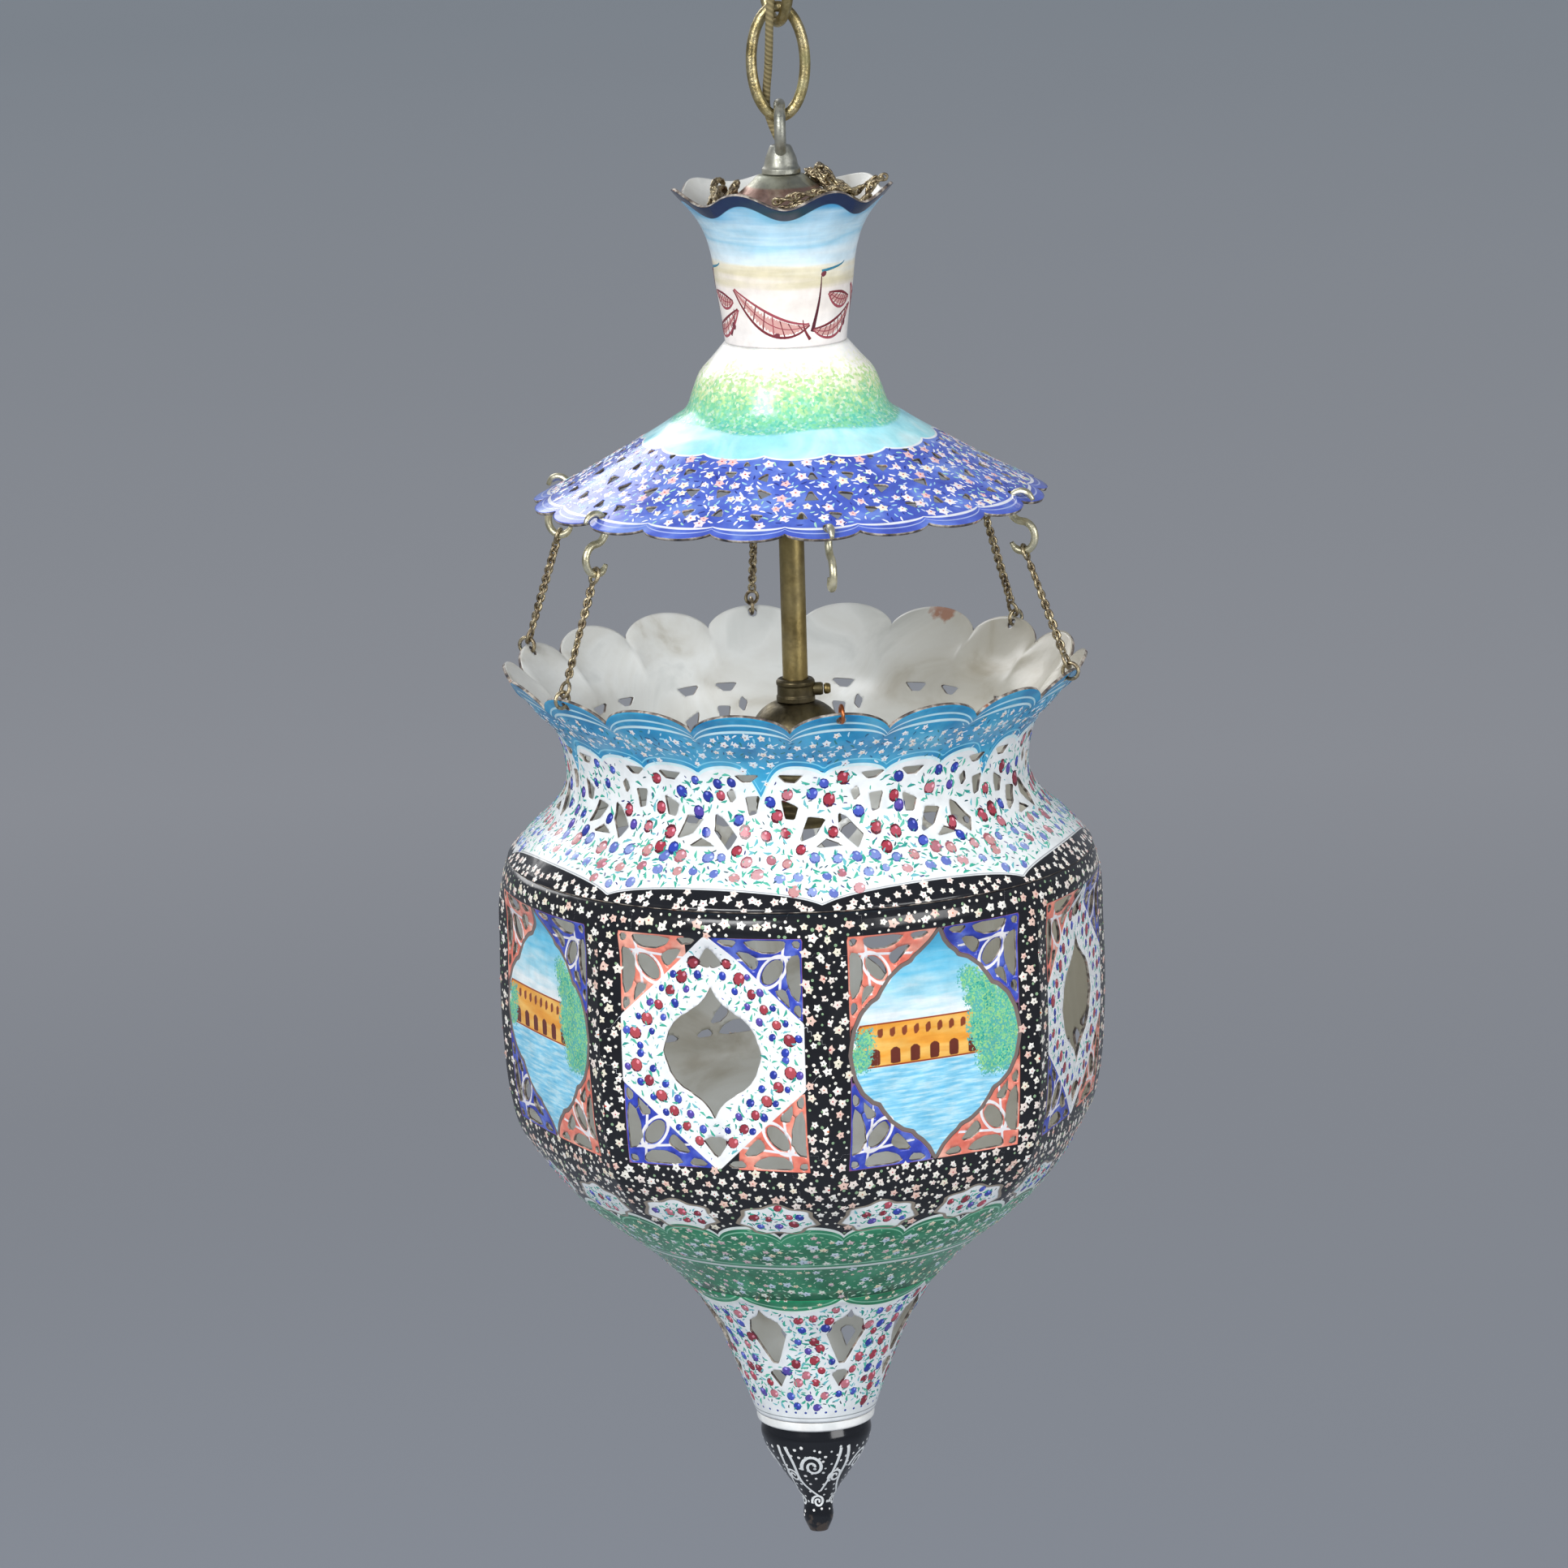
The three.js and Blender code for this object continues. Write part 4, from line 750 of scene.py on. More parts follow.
neckLook = {
    "groups": 12,           # fans of openings round the neck
    "firstGroup": 8.0,
    "dropDepth": 9.5,       # the pointed drops of the turquoise band
    "ringHole": 1.9,
    "ringHoleBack": 2.9,    # mm down the slanted rim from a lobe's tip
}
fanOpenings = [
    [(-8.6, 5.6), (-2.2, 4.6), (-6.2, -1.2), (-12.4, -3.6)],
    [(2.0, 6.6), (5.0, 5.0), (10.8, -1.6), (8.4, -6.8), (2.0, 0.2)],
    [(-7.4, -6.0), (-2.6, -2.4), (3.6, -5.2)],
]
upperOpenings = [
    [(-7.6, 1.4), (-2.8, 2.0), (-4.2, -4.4), (-6.6, -5.2)],
    [(3.4, 0.8), (8.8, -2.2), (7.6, -6.6), (4.6, -6.2)],
    [(-10.8, 9.4), (-2.4, 9.8), (-5.6, 6.8), (-8.4, 6.6)],
    [(2.4, 9.8), (10.8, 9.2), (8.2, 6.4), (4.8, 6.6)],
    [(-13.6, 2.6), (-11.4, 4.8), (-10.4, 1.0), (-12.2, -1.2)],
]


def neckOpenings(angle, along):
    # The fans, the openings between and above them, and the rings' holes in the rim
    field = np.full(np.shape(angle), 50.0)
    radius = radiusOf(neck, along)
    for shapes, first, level, wide, high, scale in ((fanOpenings, 0, 35, 1.1, 1.1, 1.1),
                                                    (upperOpenings, 15, 47.5, 1.25, 1.15, 1.2)):
        away, number = nearestOf(angle, neckLook["firstGroup"] + first, neckLook["groups"])
        x, y = np.radians(away) * radius, along - level
        for shape in shapes:
            field = np.minimum(field, polygonField(x / wide, y / high, shape) * scale)
    for hanger in hangerAngles:
        across = np.radians(offsetFrom(angle, hanger)) * (radius + 1.5)
        down = along - (neck["length"] - neckLook["ringHoleBack"])
        field = np.minimum(field, np.hypot(across, down) - neckLook["ringHole"])
    return field


def neckFields(angle, along):
    # Scallops along the turquoise band, every fourth point drawn out; arcs of black rise from the corners
    away, number = nearestOf(angle, -9, 6)
    drop = neckLook["dropDepth"] * np.exp(-(np.abs(away) / 2.9) ** 1.5)
    scallop = lobeShape((angle + 9 - 7.5) * 24 / 360)
    arc = lobeShape((angle - 26.5) * 8 / 360)
    return {
        "fromRim": neck["length"] - along,
        "turquoise": along - (57.4 + 4.4 * scallop - drop),
        "black": 2.6 + 6.6 * arc - along,
    }


black = "#17181d"
neckEnamel = enamel(
    "painted enamel, bowl neck", "#f1f5f6", [("turquoise", 0.2, turquoiseGlaze), ("black", 0.15, black)],
    [("turquoise", 0.3, 1.5, "#dcf8fc"), ("turquoise", 3.4, 0.7, "#7fd2ee"), ("fromRim", 4.2, 0.9, "#bdeaf8"),
     ("fromRim", 7.2, 1.1, "#d0f2fb"), ("black", -0.6, 0.5, "#b4b6ba")])
alongs = np.r_[np.linspace(0, 20, 12), np.linspace(20, 60, 40)[1:], np.linspace(60, neck["length"], 24)[1:]]
enamelShell("bowl_neck_shell", neck, 18 * 34, bowlLobes["first"], alongs, neckOpenings, neckFields, neckEnamel,
            "bowl", "bowl_neck")

# Flower paints: the tints of the balls and the dark of their rims, full and pale
roses = {False: (["#a83848", "#b85060", "#c87884", "#8c2c3c"], "#5e1c2a"),
         True: (["#c88a90", "#d8a4a8", "#b87480", "#d09898"], "#a8646c")}
blues = {False: (["#3044b0", "#2a3a9c", "#4a5cc0", "#5a4aa8"], "#1f2c78"),
         True: (["#7f8fd0", "#93a4dc", "#6878c4"], "#5664a8")}
leafColours = ["#3fb098", "#2f9c90", "#57c0a6", "#6fc0c8"]


def buds(shell, places, paints, size):
    # A round flower seen from its side: a dark rim, a tinted ball and a light dab on it
    colours, dark = paints
    sizes = size * (1 + randomPlaces.uniform(-0.18, 0.18, len(places)))
    turns = randomPlaces.uniform(-50, 50, len(places))
    tints = picked(colours, len(places))
    light = np.clip(tints * np.array([1, 1, 1, 0]) * 1.6 + np.array([0.2, 0.2, 0.24, 1]), 0, 1)
    return [stamp(shell, shape, places, sizes, turns, colour)
            for shape, colour in ((budRim, linear(dark)), (budBall, tints), (budLight, light))]


def meadowFlowers(shell, low, high, pitch, keep, size=1.0, pale=False):
    # Flowers on white: roses with dark rims, blue buds, teal leaves and fine dark dots between them
    spots = scatter(shell, low, high, pitch, keep, 0.2)
    kind = randomPlaces.random(len(spots))
    return [*buds(shell, spots[kind < 0.52], roses[pale], 2.0 * size),
            *buds(shell, spots[kind >= 0.52], blues[pale], 1.8 * size),
            *flowers(shell, low, high, pitch * 0.55, keep, leafColours, shape=leaf, size=1.15 * size),
            *flowers(shell, low, high, pitch * 0.42, keep, leafColours + ["#24505c", "#2c3a80"], shape=dash,
                     size=0.8 * size)]


def onNeck(part, margin, edge=0.0):
    # Keeps a place off the openings and inside one painted part of the neck
    def keep(angle, along):
        fields = neckFields(angle, along)
        blue = fields["turquoise"]
        inside = {
            "blue": (blue - margin, np.abs(blue - 3.4) - edge, fields["fromRim"] - 7.8 - margin),
            "white": (-blue - margin, -fields["black"] - margin),
            "black": (fields["black"] - margin,),
        }
        return clear(neckOpenings(angle, along) - margin, *inside[part])
    return keep


decoration("neck_painting", [
    *flowers(neck, 44, 84, 5.8, onNeck("blue", 1.5, 1.2), ["#f6f6f6", "#e6f0f6", "#f6efe6"],
             ["#a04038", "#8a5a3a", "#b03a50"], size=1.85),
    *flowers(neck, 44, 84, 3.4, onNeck("blue", 1.0, 1.0), ["#bfe8f8", "#eaf6fc", "#9cdcf2", "#14608c", "#1d7a80"],
             shape=dash, size=1.4),
    *meadowFlowers(neck, 1.5, 27, 8.4, onNeck("white", 1.9), 1.5, True),
    *meadowFlowers(neck, 27, 64, 8.2, onNeck("white", 2.0), 1.5),
    *flowers(neck, 0.4, 12, 4.5, onNeck("black", 0.9), ["#f4f0e6", "#f0e4dc", "#f6f4ee"],
             ["#c84a40", "#e8b8a8", "#b84454"], size=2.05),
], "bowl")

# Belly

bellyLook = {
    "middle": -82.0,        # height of the panels' middle
    "windowPanels": -18.5,  # first pierced panel; the painted ones lie half a turn step on
    "frameHalfWidth": 37.0,
    "frameHalfHeight": 47.0,
    "chord": 0.96,          # a flattened side's mean radius to its corners'
    "ring": (0.682, 0.732, 34.4),   # the white ring's outer edge: these shares of x and y make this much
}


def mirrored(*quarter):
    # The quarter outline from the top point to the right point, mirrored to the whole figure
    quarter = np.array(quarter, float)
    right = np.concatenate([quarter, quarter[-2::-1] * (1, -1)])
    return np.concatenate([right, right[-2:0:-1] * (-1, 1)])


windowOutline = mirrored((0, 26.5), (2, 22.6), (4.6, 19.6), (7.4, 17.6), (8.4, 17.3), (9.4, 16.0), (12.6, 14.4),
                         (15.6, 11.6), (17.9, 8.0), (18.8, 5.0), (19.4, 3.6), (20.4, 0))
medallionOutline = mirrored((0, 45.5), (2.6, 41.0), (6.0, 37.4), (9.0, 35.2), (10.2, 33.4), (14.5, 32.0),
                            (19.6, 28.2), (23.2, 23.4), (24.8, 20.6), (27.6, 19.4), (31.6, 15.6), (34.6, 9.6),
                            (35.8, 4.0), (36.4, 0))
kiteOutline = [(-0.1, 43.4), (5.4, 35.4), (1.8, 33.6), (-0.1, 34.0)]
# A corner's openings, measured from the frame's corner: slivers by the frame, the leaf's eye and small ones
cornerShapes = [
    [(6.2, 0.9), (18.4, 0.7), (22.6, 1.6), (20.4, 4.4), (15.4, 6.4), (9.8, 6.2), (6.8, 4.2)],
    [(0.9, 6.4), (0.7, 21.0), (1.6, 25.8), (4.4, 22.6), (6.2, 17.0), (6.0, 10.6), (4.2, 7.0)],
    [(16.8, 9.0), (20.8, 6.4), (26.6, 5.4), (23.4, 9.8), (19.8, 13.4), (17.6, 12.6)],
    [(7.0, 20.2), (11.4, 21.4), (9.4, 23.6), (5.2, 27.8), (5.4, 23.8)],
    [(24.6, 0.8), (34.0, 0.7), (30.4, 3.6), (26.4, 3.8)],
    [(0.8, 27.4), (0.7, 32.2), (3.6, 29.4), (3.4, 26.2)],
    [(0.9, 0.9), (4.4, 1.0), (3.6, 3.4), (1.0, 4.4)],
]
cornerEye = {"middle": (11.6, 13.8), "across": 3.3, "length": 6.0, "turn": math.radians(-38)}
# Round bushes of the garden view: x, y and radius
bushes = [(26, 4, 12), (21, 17, 8), (30, -6, 8), (24, -9, 6), (15, 24, 4.5), (33, 16, 6), (-33, -2, 5), (-31, 5, 4)]


def panelSpot(angle, along):
    # Width and height in the nearest panel, and whether it is a painted one
    away, number = nearestOf(angle, bellyLook["windowPanels"], 8)
    x = np.radians(away) * radiusOf(belly, along) * bellyLook["chord"]
    return x, heightOf(belly, along) - bellyLook["middle"], number % 2 == 1


def cornerSpot(x, y):
    # Distances in from the frame's sides
    return bellyLook["frameHalfWidth"] - np.abs(x), bellyLook["frameHalfHeight"] - np.abs(y)


def eyeField(x, y):
    # About the distance to the turned ellipse: its scaled radius less one, times its smaller half
    sx, sy = cornerSpot(x, y)
    dx, dy = sx - cornerEye["middle"][0], sy - cornerEye["middle"][1]
    c, s = math.cos(cornerEye["turn"]), math.sin(cornerEye["turn"])
    scaled = np.hypot((dx * c + dy * s) / cornerEye["across"], (dy * c - dx * s) / cornerEye["length"])
    return (scaled - 1) * cornerEye["across"]


def cornerOpenings(x, y):
    # Worked out only near the frames' corners, because it takes long
    sx, sy = cornerSpot(x, y)
    near = (sx < 36) & (sy < 36) & (sx > -3) & (sy > -3)
    field = np.full(np.shape(x), 50.0)
    shapes = [polygonField(sx[near], sy[near], corners) for corners in cornerShapes]
    field[near] = np.minimum.reduce([eyeField(x[near], y[near]), *shapes])
    return field


def ringField(x, y):
    # Positive outside the white ring round a window
    wide, high, edge = bellyLook["ring"]
    return wide * np.abs(x) + high * np.abs(y) - edge


def bellyOpenings(angle, along):
    # Windows, kites and corners of the pierced panels, and what corners a medallion leaves free
    x, y, isPainted = panelSpot(angle, along)
    corners = cornerOpenings(x, y)
    window = np.minimum(polygonField(x, y, windowOutline), polygonField(np.abs(x), np.abs(y), kiteOutline))
    beside = np.maximum(corners, 2.4 - polygonField(x, y, medallionOutline))
    return np.where(np.abs(y) > 60, 50.0, np.where(isPainted, beside, np.minimum(corners, window)))


def signedWhere(keep, value):
    # The value where keep is true, elsewhere far off zero on the same side
    return np.where(keep, value, np.copysign(60.0, value))


def bellyFields(angle, along):
    # Signed distances of the painted parts in mm, each positive inside
    x, y, isPainted = panelSpot(angle, along)
    sx, sy = cornerSpot(x, y)
    inFrame = np.minimum(sx, sy)
    outside, ring = polygonField(x, y, medallionOutline), ringField(x, y)
    beyond = np.where(isPainted, outside - 1.6, ring - 0.3)
    corner = np.minimum(inFrame - 0.2, beyond)
    leafTip = np.minimum(30.0 - sx * 1.05 - sy * 0.12, 34.0 - sy * 1.05 - sx * 0.12)
    patchAway, number = nearestOf(angle, 15.25, 16)
    patchX, patchY = np.radians(patchAway) * radiusOf(belly, along), along - 68.5
    petals = 1 + 0.1 * np.cos(7 * np.arctan2(patchX, patchY * 1.8))
    # The arcade: a tall opening every 8.6 mm and a small one every 5.2 mm above
    arches = y + 6.2
    bay = ((x + 100) % 8.6) - 4.3
    opening = np.minimum.reduce([2.1 - np.abs(bay), 7.4 - arches - 0.55 * bay ** 2 * 0.5, arches - 0.8])
    inCorner = (inFrame > 3.0) & (beyond > 0)
    return {
        "corner": np.where(isPainted, corner, np.minimum(corner, leafTip)),
        "blueCorner": np.where(x * y < 0, -5.0, corner),
        "ring": np.where(isPainted, -5.0, np.minimum(inFrame + 0.2, 0.6 - ring)),
        "ringLine": np.where(isPainted, 60.0, np.copysign(np.maximum(np.abs(ring), -inFrame * 5), ring)),
        "eye": np.where(inFrame > 0, eyeField(x, y), 9.0),
        "ribAcross": signedWhere(inCorner, sx - 6.8 - 0.1 * sy),
        "ribUp": signedWhere(inCorner, sy - 7.0 - 0.1 * sx),
        "medallion": np.where(isPainted, -outside, -5.0),
        "inFrame": inFrame,
        "patch": (petals - np.hypot(patchX / 14.4, patchY / 8.4)) * 8,
        "green": 56.4 + 7.0 * lobeShape((angle - 15.25) * 24 / 360) - along,
        "up": along,
        "panelX": x,
        "panelY": y,
        "building": np.minimum.reduce([arches, 17.4 - arches, 28.0 - np.abs(x + 6)]),
        "arches": opening,
        "upperArches": np.minimum(1.15 - np.abs(((x + 100) % 5.2) - 2.6), 2.0 - np.abs(arches - 13.4)),
        "bushes": -np.minimum.reduce([np.hypot(x - a, (y - b) * 0.9) - r for a, b, r in bushes]),
    }


def landscape(add, spot):
    # A plain garden view: sky, a level row of ochre arches, bushes in dabs and a lake
    def brushed(scale, wide, high, detail):
        # Noise drawn out level, like brush strokes
        stretched = add("Mapping", {"Vector": flat, "Scale": (wide, high, 1)})
        return add("TexNoise", {"Scale": scale, "Detail": detail, "Vector": stretched})

    def within(key, low, high):
        # Share of the way from low to high that an attribute has reached
        return add("MapRange", (add("Attribute", **painted(key)), low, high))

    y = add("Attribute", **painted("panelY"))
    flat = add("CombineXYZ", {"X": add("Attribute", **painted("panelX")), "Y": y})
    swing = add("MapRange", (brushed(1.0, 0.05, 0.32, 5), 0.3, 0.7, -6, 6))
    share = add("MapRange", (add("Math", (y, swing), operation="ADD"), 0, 46))
    air = add("ValToRGB", (share,), stops=[
        (0.0, "#ffffff"), (0.25, "#eef8fb"), (0.5, "#a8def0"), (0.75, "#6cc6e8"), (1.0, "#43b2de")])
    ochre = add("ValToRGB", (brushed(0.5, 0.05, 0.32, 4),), stops=[
        (0.3, "#e08a2c"), (0.45, "#f0a840"), (0.6, "#f7c468"), (0.75, "#ea9a38")])
    dabTone = add("SeparateColor", (add("TexVoronoi", {"Scale": 1.5, "Vector": flat}, "Color"),))
    clumps = add("TexNoise", {"Scale": 0.12, "Detail": 3, "Vector": flat})
    mixed = add("Math", (dabTone, 0.45, clumps), operation="MULTIPLY_ADD")
    leaves = add("ValToRGB", (mixed,), stops=[
        (0.38, "#1f8f90"), (0.5, "#3fb0a0"), (0.62, "#6cc7a0"), (0.74, "#a3dc8c"), (0.86, "#5bb6b0")])
    water = add("ValToRGB", (brushed(1.0, 0.09, 0.7, 4),), stops=[
        (0.32, "#6cc4ec"), (0.5, "#9adcf6"), (0.62, "#c6eefb"), (0.75, "#86d0f0")])
    wallEdge = add("Math", (within("building", 0.8, 0.4), within("building", -0.1, 0.1)), operation="MULTIPLY")
    ragged = add("MapRange", {0: dabTone, 3: -1.6, 4: 1.6})
    rough = add("Math", (add("Attribute", **painted("bushes")), ragged), operation="ADD")
    return coats(add, air, (add("MapRange", (y, -6.0, -6.6)), water), (within("building", -0.15, 0.15), ochre),
                 (within("arches", -0.15, 0.15), "#6a2f22"), (within("upperArches", -0.15, 0.15), "#8a4428"),
                 (wallEdge, "#9a3a20"), (add("MapRange", (rough, -0.3, 0.3)), leaves))


bellyEnamel = enamel("painted enamel, belly", black, [
    ("patch", 0.3, "#f0f4f5"), ("corner", 0.15, coralGlaze), ("blueCorner", 0.15, deepBlueGlaze),
    ("ring", 0.15, "#f3f6f8"), ("medallion", 0.12, landscape), ("green", 0.2, greenGlaze),
], [("eye", 0.9, 1.0, "#f4f2f4"), ("ribAcross", 0.0, 1.0, "#f0eef2"), ("ribUp", 0.0, 1.0, "#f0eef2"),
    ("ringLine", 0.0, 1.4, "#f6f8fa"), ("medallion", -0.6, 1.6, "#7d6f6a"), ("green", 0.5, 1.9, "#eef8f2"),
    ("green", 3.8, 0.9, "#8fd4b0"), ("up", 28.3, 2.0, "#e8f6ee"), ("up", 31.2, 1.0, "#8fd4b0"),
    ("patch", -0.5, 0.9, "#948a7c")])
alongs = np.r_[np.linspace(0, 50, 8), np.linspace(50, 90, 16)[1:], np.linspace(90, 192, 64)[1:], 195, belly["length"]]
enamelShell("bowl_belly_shell", belly, 8 * 72, bellySides["first"], alongs, bellyOpenings, bellyFields, bellyEnamel,
            "bowl", "bowl_belly")


def onBelly(part, margin, edge=0.0):
    # Keeps a place off the openings and inside one painted part of the belly
    def keep(angle, along):
        fields = bellyFields(angle, along)
        patch, green, ring = fields["patch"], fields["green"], fields["ring"]
        inside = {
            "black": (-patch - margin, -fields["inFrame"] - 0.4 * margin, -green - margin),
            "ring": (ring - margin,),
            "patch": (patch - margin, -green - margin),
            "green": (green - margin - 1.2, np.abs(along - 29.5) - edge - 0.4, np.abs(green - 3.8) - 0.6 * edge),
        }
        return clear(bellyOpenings(angle, along) - margin, *inside[part])
    return keep


bellyParts = [
    *flowers(belly, 56, 198, 6.0, onBelly("black", 1.5), ["#f4f0e6", "#f0e4dc", "#efe8d4", "#f6f4ee", "#eccabc"],
             ["#d0463c", "#3a3230", "#d8794a", "#5a6a50", "#c04454"], size=2.2),
    *flowers(belly, 56, 198, 3.9, onBelly("black", 0.9), ["#f0ece0", "#e8e8de", "#f4f0e6", "#8fb08a"],
             shape=roundDot, size=0.72),
    *meadowFlowers(belly, 54, 84, 6.2, onBelly("patch", 1.2), 1.25),
    *flowers(belly, 3, 64, 13, onBelly("green", 2.4, 3.0), ["#cfe4f0", "#dcecf4"], ["#182868"], size=2.5),
    *flowers(belly, 1.5, 66, 6.2, onBelly("green", 1.7, 2.6), ["#eef6e8", "#f2e8c8", "#e8d0d0", "#dff0ee"],
             ["#c8403a", "#3a4aa8", "#7a3a30"], size=1.85),
    *flowers(belly, 1.5, 66, 3.4, onBelly("green", 1.1, 2.0), ["#a8e0bc", "#dff4e4", "#8fd0a8"],
             shape=dash, size=1.1),
]

# Flowers of the white rings, set out along the four sides of each diamond: a row of roses, and blue
# buds inside and outside it. Each row: mm outwards, share of a step on, paints, size
ringRose = (["#a8404c", "#b85058", "#943442"], "#4c1a24")
ringRows = [(1.0, 0.0, ringRose, 2.9), (-3.6, 0.5, blues[False], 2.0), (4.2, 0.5, blues[False], 1.9)]
sideSteps = np.linspace(0.12, 0.9, 6)
for panel in range(0, 8, 2):
    for across, end in ((1, 1), (1, -1), (-1, 1), (-1, -1)):
        for outward, share, paints, size in ringRows:
            x = across * (2.5 + 31.5 * sideSteps + outward * 0.68 + share * 2.6)
            y = end * (39.5 - 37.5 * sideSteps + outward * 0.73 - share * 3.1)
            along = np.interp(bellyLook["middle"] + y, belly["height"], belly["along"])
            angle = (bellyLook["windowPanels"] + 45 * panel
                     + np.degrees(x / (radiusOf(belly, along) * bellyLook["chord"])))
            places = np.column_stack([angle, along])[onBelly("ring", 1.5)(angle, along)]
            bellyParts += buds(belly, places, paints, size)
bellyParts += flowers(belly, 86, 190, 4.4, onBelly("ring", 1.2), leafColours, shape=leaf, size=1.5)
bellyParts += flowers(belly, 86, 190, 3.4, onBelly("ring", 0.9), leafColours + ["#5566c0"], shape=dash, size=0.7)
decoration("belly_painting", bellyParts, "bowl")
print("neck and belly done")

# Cone, foot and finial

coneLook = {
    "count": 8,
    "openings": 18.5,       # angle of the first opening; the green band's points lie between
    "points": 35.0,
    "diamond": [(0, 14.5), (1.6, 11.0), (5.6, 8.2), (7.4, 2.0), (4.2, -5.6), (1.2, -12.5), (-1.2, -12.5),
                (-4.2, -5.6), (-7.4, 2.0), (-5.6, 8.2), (-1.6, 11.0)],
    "small": [(0, -5.2), (3.8, 1.6), (1.5, 3.4), (-1.5, 3.4), (-3.8, 1.6)],
}


def coneOpenings(angle, along):
    # A diamond with a small opening under it, eight times
    away, number = nearestOf(angle, coneLook["openings"], coneLook["count"])
    x = np.radians(away) * radiusOf(cone, along)
    field = np.minimum(polygonField(x / 1.1, (along - 43) / 1.1, coneLook["diamond"]) * 1.1,
                       polygonField(x, along - 22.5, coneLook["small"]))
    return np.where(along > 62, 50.0, field)


def coneFields(angle, along):
    # The green band's lower edge hangs in eight scallops
    away, number = nearestOf(angle, coneLook["points"], coneLook["count"])
    return {"up": along, "green": along - (66.5 - 7.6 * lobeShape(away / 45))}


def onConeWhite(angle, along):
    # Off the openings and below the green band
    return clear(coneOpenings(angle, along) - 1.6, -coneFields(angle, along)["green"] - 1.6)


def onConeGreen(angle, along):
    # Well inside the green band
    return coneFields(angle, along)["green"] > 2.0


coneEnamel = enamel("painted enamel, cone", "#eef3f5", [("green", 0.2, greenGlaze)],
                    [("green", -0.2, 1.4, "#eef8f2"), ("green", 2.6, 0.8, "#8fd4b0"), ("up", 2.2, 0.5, "#9fa6a8")])
enamelShell("bowl_cone_shell", cone, 8 * 48, coneLook["openings"], np.linspace(0, cone["length"], 72), coneOpenings,
            coneFields, coneEnamel, "bowl", "bowl_cone")
dotRow = np.column_stack([np.arange(40) * 9.0, np.full(40, 5.0)])
decoration("cone_painting", [
    *meadowFlowers(cone, 7.5, 62, 6.6, onConeWhite, 1.4),
    *flowers(cone, 50, 67, 4.8, onConeGreen, ["#eef6e8", "#f2e8c8"], ["#3a4aa8", "#c8504a"], size=1.35),
    stamp(cone, roundDot, dotRow, np.full(40, 0.7), np.zeros(40), linear("#2f4aa0")),
], "bowl")


def turned(name, node, body, slot, material, profile, segments=72, bevel=0.25, sharp=32):
    # A lathe shape: the closed profile (radius, height) carried once round the axis. Points on the axis
    # become one, then the faces are turned outwards and the edges eased
    profile = np.array(profile, float)
    turn = np.arange(segments) * 2 * math.pi / segments
    points = np.stack([profile[:, None, 0] * np.sin(turn), -profile[:, None, 0] * np.cos(turn),
                       np.repeat(profile[:, None, 1], segments, 1) - lampDrop], -1).reshape(-1, 3) / 1000
    index = np.arange(len(profile) * segments).reshape(len(profile), segments)
    ahead, beside = np.roll(index, -1, axis=0), np.roll(index, -1, axis=1)
    faces = np.stack([index, beside, np.roll(ahead, -1, axis=1), ahead], -1).reshape(-1, 4)
    piece = addPiece(name, points, faces, [material], body, node)
    work = bmesh.new()
    work.from_mesh(piece.data)
    bmesh.ops.remove_doubles(work, verts=work.verts, dist=1e-6)
    bmesh.ops.dissolve_degenerate(work, edges=work.edges, dist=1e-7)
    bmesh.ops.recalc_face_normals(work, faces=work.faces)
    work.to_mesh(piece.data)
    work.free()
    piece.data.set_sharp_from_angle(angle=math.radians(sharp))
    if bevel:
        eased = piece.modifiers.new("eased edges", "BEVEL")
        eased.width = bevel / 1000
        eased.segments = 2
        eased.limit_method = "ANGLE"
        eased.angle_limit = math.radians(sharp)


# Black enamel on turned copper, very glossy, a little worn at the tip
blackEnamel, add, spot = newMaterial("black enamel on turned copper", "#14161b", Roughness=0.1)
tipNoise = add("TexNoise", {"Scale": 240, "Detail": 4, "Vector": spot})
tipSwing = add("MapRange", (tipNoise, 0.3, 0.7, -0.006, 0.006))
tipLevel = add("Math", (add("SeparateXYZ", (spot,), "Z"), tipSwing), operation="ADD")
tipWorn = add("MapRange", (tipLevel, -0.6815, -0.6835, 0.0, 0.8))
joinTo(blackEnamel, Base_Color=coats(add, "#14161b", (tipWorn, "#4a4038")),
       Roughness=add("MapRange", {0: tipNoise, 3: 0.05, 4: 0.22}))

finial = outlineOf((3.8, -309.8), (5.9, -304.8), (6, -296.8), (8.6, -291.6), (12, -286.8), (15.6, -281.4),
                   (18.8, -276.3), (21.8, -269.7), (22.4, -266.5), (21.5, -262.3))
finialProfile = [(0, -309.8), *zip(finial["radius"][::2], finial["height"][::2]), (21.5, -262.3), (2.3, -262.3),
                 (2.3, -274.1), (0, -274.1)]
turned("finial_shell", "finial", "bowl", "finial_enamel", blackEnamel, finialProfile, bevel=0)
finialParts = []
t = np.linspace(0, 1, 40)


def finialLine(start, across, along, width):
    # A brushed line from mm across and mm along, five times round the finial
    turned = np.degrees(across / np.maximum(radiusOf(finial, along), 5))
    for number in range(5):
        path = np.column_stack([start + 72 * number + turned, along])
        finialParts.append(brushLine(finial, path, width, "#eef2f2"))


def finialSpiral(start, level, small, grow, tall, width, hand=1):
    # A spiral of one and a half turns whose radius grows from small
    curl, radius = 1.55 * 2 * math.pi * t, small + grow * t
    finialLine(start, radius * np.cos(hand * curl), level + tall * radius * np.sin(curl), width)


def onFinial(angle, along):
    # Everywhere
    return clear(noOpenings(angle, along))


